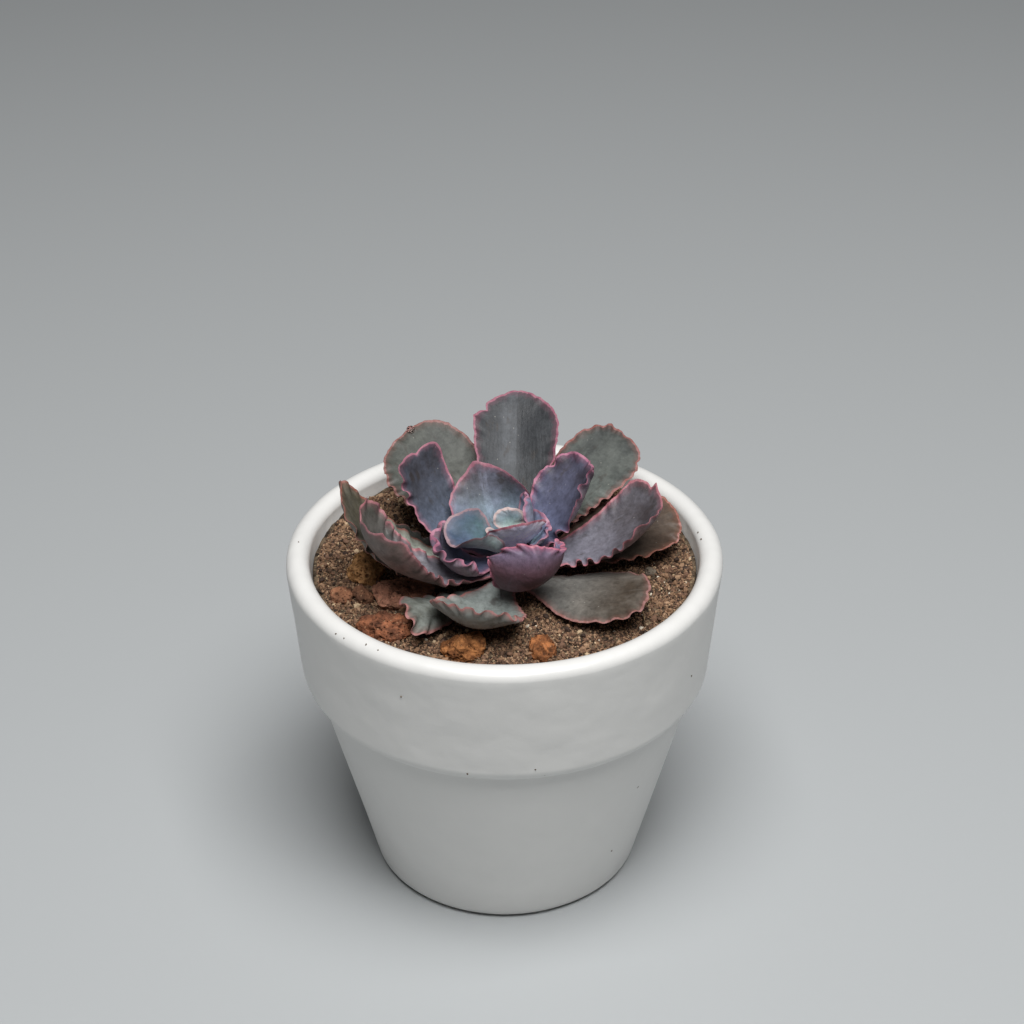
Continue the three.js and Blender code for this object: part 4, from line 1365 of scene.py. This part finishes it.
def middle_leaves() -> list[Leaf]:
    """The middle whorl."""
    return [
        Leaf("leaf_upper_left", 204, 41, 21, (5, 5.4), (-3, 79), (1, -3), 78, 0.85, 0.35, HUSK, bend=1.2,
             square=2.4, skew=-10, ruffle=(0.7, 0.5, 0.9),
             spikes=((0.12, 1.6, 0.8), (-0.04, -1.4, 1.4), (-0.16, 1.2, 0.8)),
             blots=((0.78, 6.5, 2.2, 1.6), (0.6, 7.0, 1.6, 1.0)), seed=12),
        Leaf("leaf_upper_right", 13, 33, 22, (5.6, 6.2), (-4, 64), (8, 4), 58, 0.85, 0.33, MAUVE, sweep=-16, bend=1.3,
             skew=4, ruffle=(0.6, 0.4, 0.3), spikes=((-0.12, 1.2, 1.0), (0.12, 1.3, 0.8), (0.16, -0.9, 0.8)), seed=13),
        Leaf("leaf_inner_left", 155, 33, 16, (4.2, 7.2), (5, 88), (-9, -4), 26, 0.67, 0.29, DUSK, sweep=-6,
             square=5, skew=-2, ruffle=(0.25, 0.2, 0.7),
             spikes=((0.19, 2.3, 1.7), (0.215, 1.0, 0.5), (-0.03, -1.3, 2.4)),
             blots=((0.82, 1.0, 2.0, 0.7), (0.84, 3.6, 1.6, 0.9)), seed=14),
        Leaf("leaf_inner_right", 34, 23.5, 22, (5.2, 8.5), (37, 63), (4, -12), 48, 0.6, 0.35, VIOLET, sweep=-13,
             square=3.2, skew=-6, ruffle=(1.0, 0.35, 0.3),
             spikes=((-0.2, 1.5, 0.8), (0.4, -1.2, 1.2), (0.2, 0.6, 2.0)), seed=15),
        Leaf("leaf_inner_front_left", 206, 17, 19.5, (5.9, 7.6), (-11, 75), (-5, -4), 70, 0.73, 0.25, VIOLET, sweep=-4,
             square=2.5, skew=-16, ruffle=(0.7, 0.7, 0.8), seed=16),
        Leaf("leaf_inner_back", 121, 19.5, 20.5, (3.5, 9.2), (24, 84), (-5, -33), 47, 0.54, 0.38, STEEL, sweep=-13,
             square=1.8, skew=-12, ruffle=(0.3, 0.12, 0.25), spikes=((0.06, 1.7, 1.8),),
             blots=((0.86, 5.2, 1.2, 0.7), (0.84, -4.2, 1.8, 1.0)), seed=17),
        Leaf("leaf_inner_front", 288, 23.5, 26.5, (4.5, 7.6), (-13, 131), (23, -1), 88, 0.78, 0.43, PLUM, bend=1.3,
             square=2.4, skew=-17, ruffle=(0.5, 0.7, 0.5), depth=1.6,
             blots=((0.5, 2.0, 3.0, 2.6), (0.62, -1.0, 2.0, 3.0)), seed=18),
    ]


def young_leaves() -> list[Leaf]:
    """The young leaves of the centre."""
    return [
        Leaf("leaf_small_right", -7, 6.5, 14, (4.4, 11.1), (51, 59), (-2, 11), 50, 0.57, 0.4, BLUE, sweep=4, skew=7,
             thickness=1.1, ruffle=(0.5, 0.5, 0.5), pitch=3.0, depth=1.6, seed=19),
        Leaf("leaf_small_left", 200, 14, 18, (2.5, 10.4), (34, 6), (-10, 9), 76, 0.43, 0.2, CUP, sweep=16, square=2.7,
             skew=5, thickness=1.1, ruffle=(0.3, 0.5, 1.2), pitch=7.5, depth=2.6, seed=20),
        Leaf("leaf_small_front", 283, 11, 15, (1.6, 11.4), (39, 81), (3, 8), 36, 0.59, 0.3, FRONT, square=2.1, skew=-3,
             thickness=1.1, ruffle=(0.3, 0.22, 0.35), pitch=3.2, depth=1.2, seed=21),
        Leaf("leaf_bud_right", 39, 11, 10, (3.3, 11.5), (55, 119), (-4, -25), 46, 0.63, 0.36, BLUE, sweep=-18, skew=-5,
             thickness=1.1, ruffle=(0.3, 0.3, 0.3), pitch=2.8, depth=1.4, seed=22),
        Leaf("leaf_bud_back", 105, 6.5, 8, (2, 12), (55, 77), (-2, -13), 40, 0.63, 0.36, TEAL, sweep=-3,
             thickness=1.1, ruffle=(0.15, 0.15, 0.15), pitch=2.6, depth=1.2, seed=23),
        Leaf("leaf_bud_centre", 193, 5.5, 4, (2.2, 11.9), (41, 40), (1, -5), 48, 0.62, 0.36, TEAL, skew=3,
             thickness=0.8, ruffle=(0.1, 0.1, 0.1), pitch=2.4, depth=1.0, seed=24),
    ]


@dataclass
class Rosette:
    """The plant: its stem, its leaves and a drop of water on one of them."""

    planting: Planting
    leaves: tuple[Leaf, ...]

    # The stem's (height above the soil level, radius).
    STEM = ((-14.0, 3.2), (0.0, 4.6), (4.5, 4.6), (8.6, 3.1), (11.5, 1.2), (12.0, 0.6))
    DROP_HOST = "leaf_back_left"
    DROP_AT = (0.985, -0.07)

    def build_stem(self, effects: SharedEffects) -> bpy.types.Object:
        """A corky stem: its radius follows the profile of heights, with rings of old leaf scars."""
        rings, segments = 60, 48
        heights, radii = zip(*self.STEM)
        height = np.linspace(heights[0], heights[-1], rings)
        radius = np.interp(height, heights, radii)
        angle = np.linspace(0.0, 2.0 * math.pi, segments, endpoint=False)
        scars = 0.18 * np.sin(height[:, None] * 2.6 + 2.0 * angle[None, :])
        grid = (radius[:, None] + scars * (radius[:, None] > 2.0)) * 0.97
        x = self.planting.stem_x + grid * np.cos(angle)
        y = self.planting.stem_y + grid * np.sin(angle)
        z = np.broadcast_to(self.planting.soil_top + height[:, None], x.shape)
        body = np.stack([x, y, z], axis=-1).reshape(-1, 3)
        ids = joined_round(np.arange(len(body)).reshape(rings, segments))
        ends = body.reshape(rings, segments, 3)[[0, -1]].mean(axis=1)
        points = np.concatenate([body, ends])
        low, high = fan_faces(len(body), ids[0], flip=True), fan_faces(len(body) + 1, ids[-1])
        piece = set_down("stem_corky", points, [grid_faces(ids), low, high], Bark("stem_cork").build(effects))
        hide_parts("stem")
        return piece

    def build_drop(self, host: Leaf) -> bpy.types.Object:
        """A drop of water resting on a leaf near its margin: a ball flattened to seven tenths."""
        along, across = self.DROP_AT
        x, y = np.array([along * host.length]), np.array([across * host.width])
        at = host.bent(x, y, np.array([0.5]), self.planting)[0]
        points, faces = ball(24, 36)
        points = points * np.array([0.95, 0.95, 0.75]) + at + np.array([0.0, 0.0, 0.4])
        piece = set_down("water_drop", points, faces, water())
        return piece

    def build(self, effects: SharedEffects) -> None:
        """Builds the stem, every leaf and the drop."""
        self.build_stem(effects)
        for leaf in self.leaves:
            piece = leaf.build(effects, self.planting)
            LOG.info("%s: %d faces", piece.name, len(piece.data.polygons))
        self.build_drop(next(leaf for leaf in self.leaves if leaf.name == self.DROP_HOST))


# ---------------------------------------------------------------- studio


@dataclass
class Studio:
    """The floor, the soft light and the camera, in metres and degrees."""

    camera_at: Triple = (0.00175, -0.4745, 0.3893)
    camera_tilt: float = 58.06
    camera_roll: float = -0.22
    lens: float = 86.6
    lamp_at: Triple = (0.07, -0.31, 0.97)
    lamp_aim: Triple = (0.0, 0.0, 0.08)
    lamp_size: float = 0.62
    lamp_power: float = 12.6
    ambient: float = 0.055
    floor_half: float = 4.0

    def build(self) -> None:
        """Builds the floor, the lamp, the even surrounding light and the camera."""
        floor_mesh = bpy.data.meshes.new("floor")
        half = self.floor_half
        corners = [(-half, -half, 0), (half, -half, 0), (half, half, 0), (-half, half, 0)]
        floor_mesh.from_pydata(corners, [], [(0, 1, 2, 3)])
        floor_mesh.materials.append(paper())
        floor = bpy.data.objects.new("floor", floor_mesh)
        bpy.context.scene.collection.objects.link(floor)

        world = bpy.data.worlds.new("soft_light")
        world.use_nodes = True
        background = world.node_tree.nodes["Background"]
        background.inputs["Color"].default_value = (0.96, 0.98, 1.0, 1.0)
        background.inputs["Strength"].default_value = self.ambient
        bpy.context.scene.world = world

        lamp_data = bpy.data.lights.new("overhead", "AREA")
        lamp_data.size = self.lamp_size
        lamp_data.energy = self.lamp_power
        lamp = bpy.data.objects.new("overhead", lamp_data)
        lamp.location = self.lamp_at
        away = np.array(self.lamp_at) - np.array(self.lamp_aim)
        tilt = math.acos(away[2] / float(np.linalg.norm(away)))
        lamp.rotation_euler = Euler((tilt, 0.0, math.atan2(away[0], -away[1])))
        bpy.context.scene.collection.objects.link(lamp)

        camera_data = bpy.data.cameras.new("camera")
        camera_data.lens = self.lens
        camera_data.sensor_width = 36.0
        camera_data.clip_start = 0.01
        camera = bpy.data.objects.new("camera", camera_data)
        camera.location = self.camera_at
        camera.rotation_mode = "ZYX"
        camera.rotation_euler = Euler((math.radians(self.camera_tilt), 0.0, math.radians(self.camera_roll)), "ZYX")
        bpy.context.scene.collection.objects.link(camera)
        bpy.context.scene.camera = camera
        bpy.context.scene.view_settings.view_transform = "Standard"


def stones() -> list[Stone]:
    """The stones on the soil."""
    return [
        # The two stones below are painted lighter than the rest: painted light where the leaves shade them.
        Stone("stone_big_red", (-22.4, -15.9), 1.3, (7.4, 5, 3.3), 8, 6, 3, "cc9279", "8e6450"),
        Stone("stone_brown_orange", (-31.6, -4.6), 1.2, (4.9, 4.8, 3.4), 30, -8, 7, "d9a36f", "9d7248"),
        Stone("stone_left_outer", (-37, -14.6), 0.4, (2.6, 3.1, 2.3), 0, 0, 11, "a97558", "6e4f3e"),
        Stone("stone_left_inner", (-32.1, -14.1), 0.3, (2.3, 3.1, 2.3), 40, 10, 13, "9d7056", "6a4b3b"),
        Stone("stone_orange_flat", (-26, -27.4), 0.9, (6.5, 4.3, 3.2), -12, 8, 17, "a56a4c", "6f4836"),
        Stone("stone_orange_square", (-9.2, -36.0), 0.9, (5.3, 4.2, 3.2), 4, -6, 19, "b57a4b", "74492c"),
        Stone("stone_orange_right", (8.2, -35.4), 0.3, (2.8, 4.6, 2.8), 12, 4, 23, "b57549", "74492e"),
        Stone("pebble_pale", (33.2, -5.2), 0.4, (1.6, 1.5, 1.3), 20, 0, 29, "8c7f6f", "70665a"),
    ]


def main() -> None:
    """Builds the pot, the soil, the stones, the plant and the studio."""
    logging.basicConfig(level=logging.INFO, format="%(name)s: %(message)s")
    effects = SharedEffects()
    pot = Pot()
    planting = Planting()
    LOG.info("pot: %d faces", len(pot.build(effects).data.polygons))
    soil = Soil(pot, planting)
    soil.build(effects)
    Litter(pot, planting, soil).build(effects)
    for stone in stones():
        LOG.info("%s built", stone.build(effects, planting).name)
    Rosette(planting, (*outer_leaves(), *middle_leaves(), *young_leaves())).build(effects)
    Studio().build()


if __name__ == "__main__":
    main()
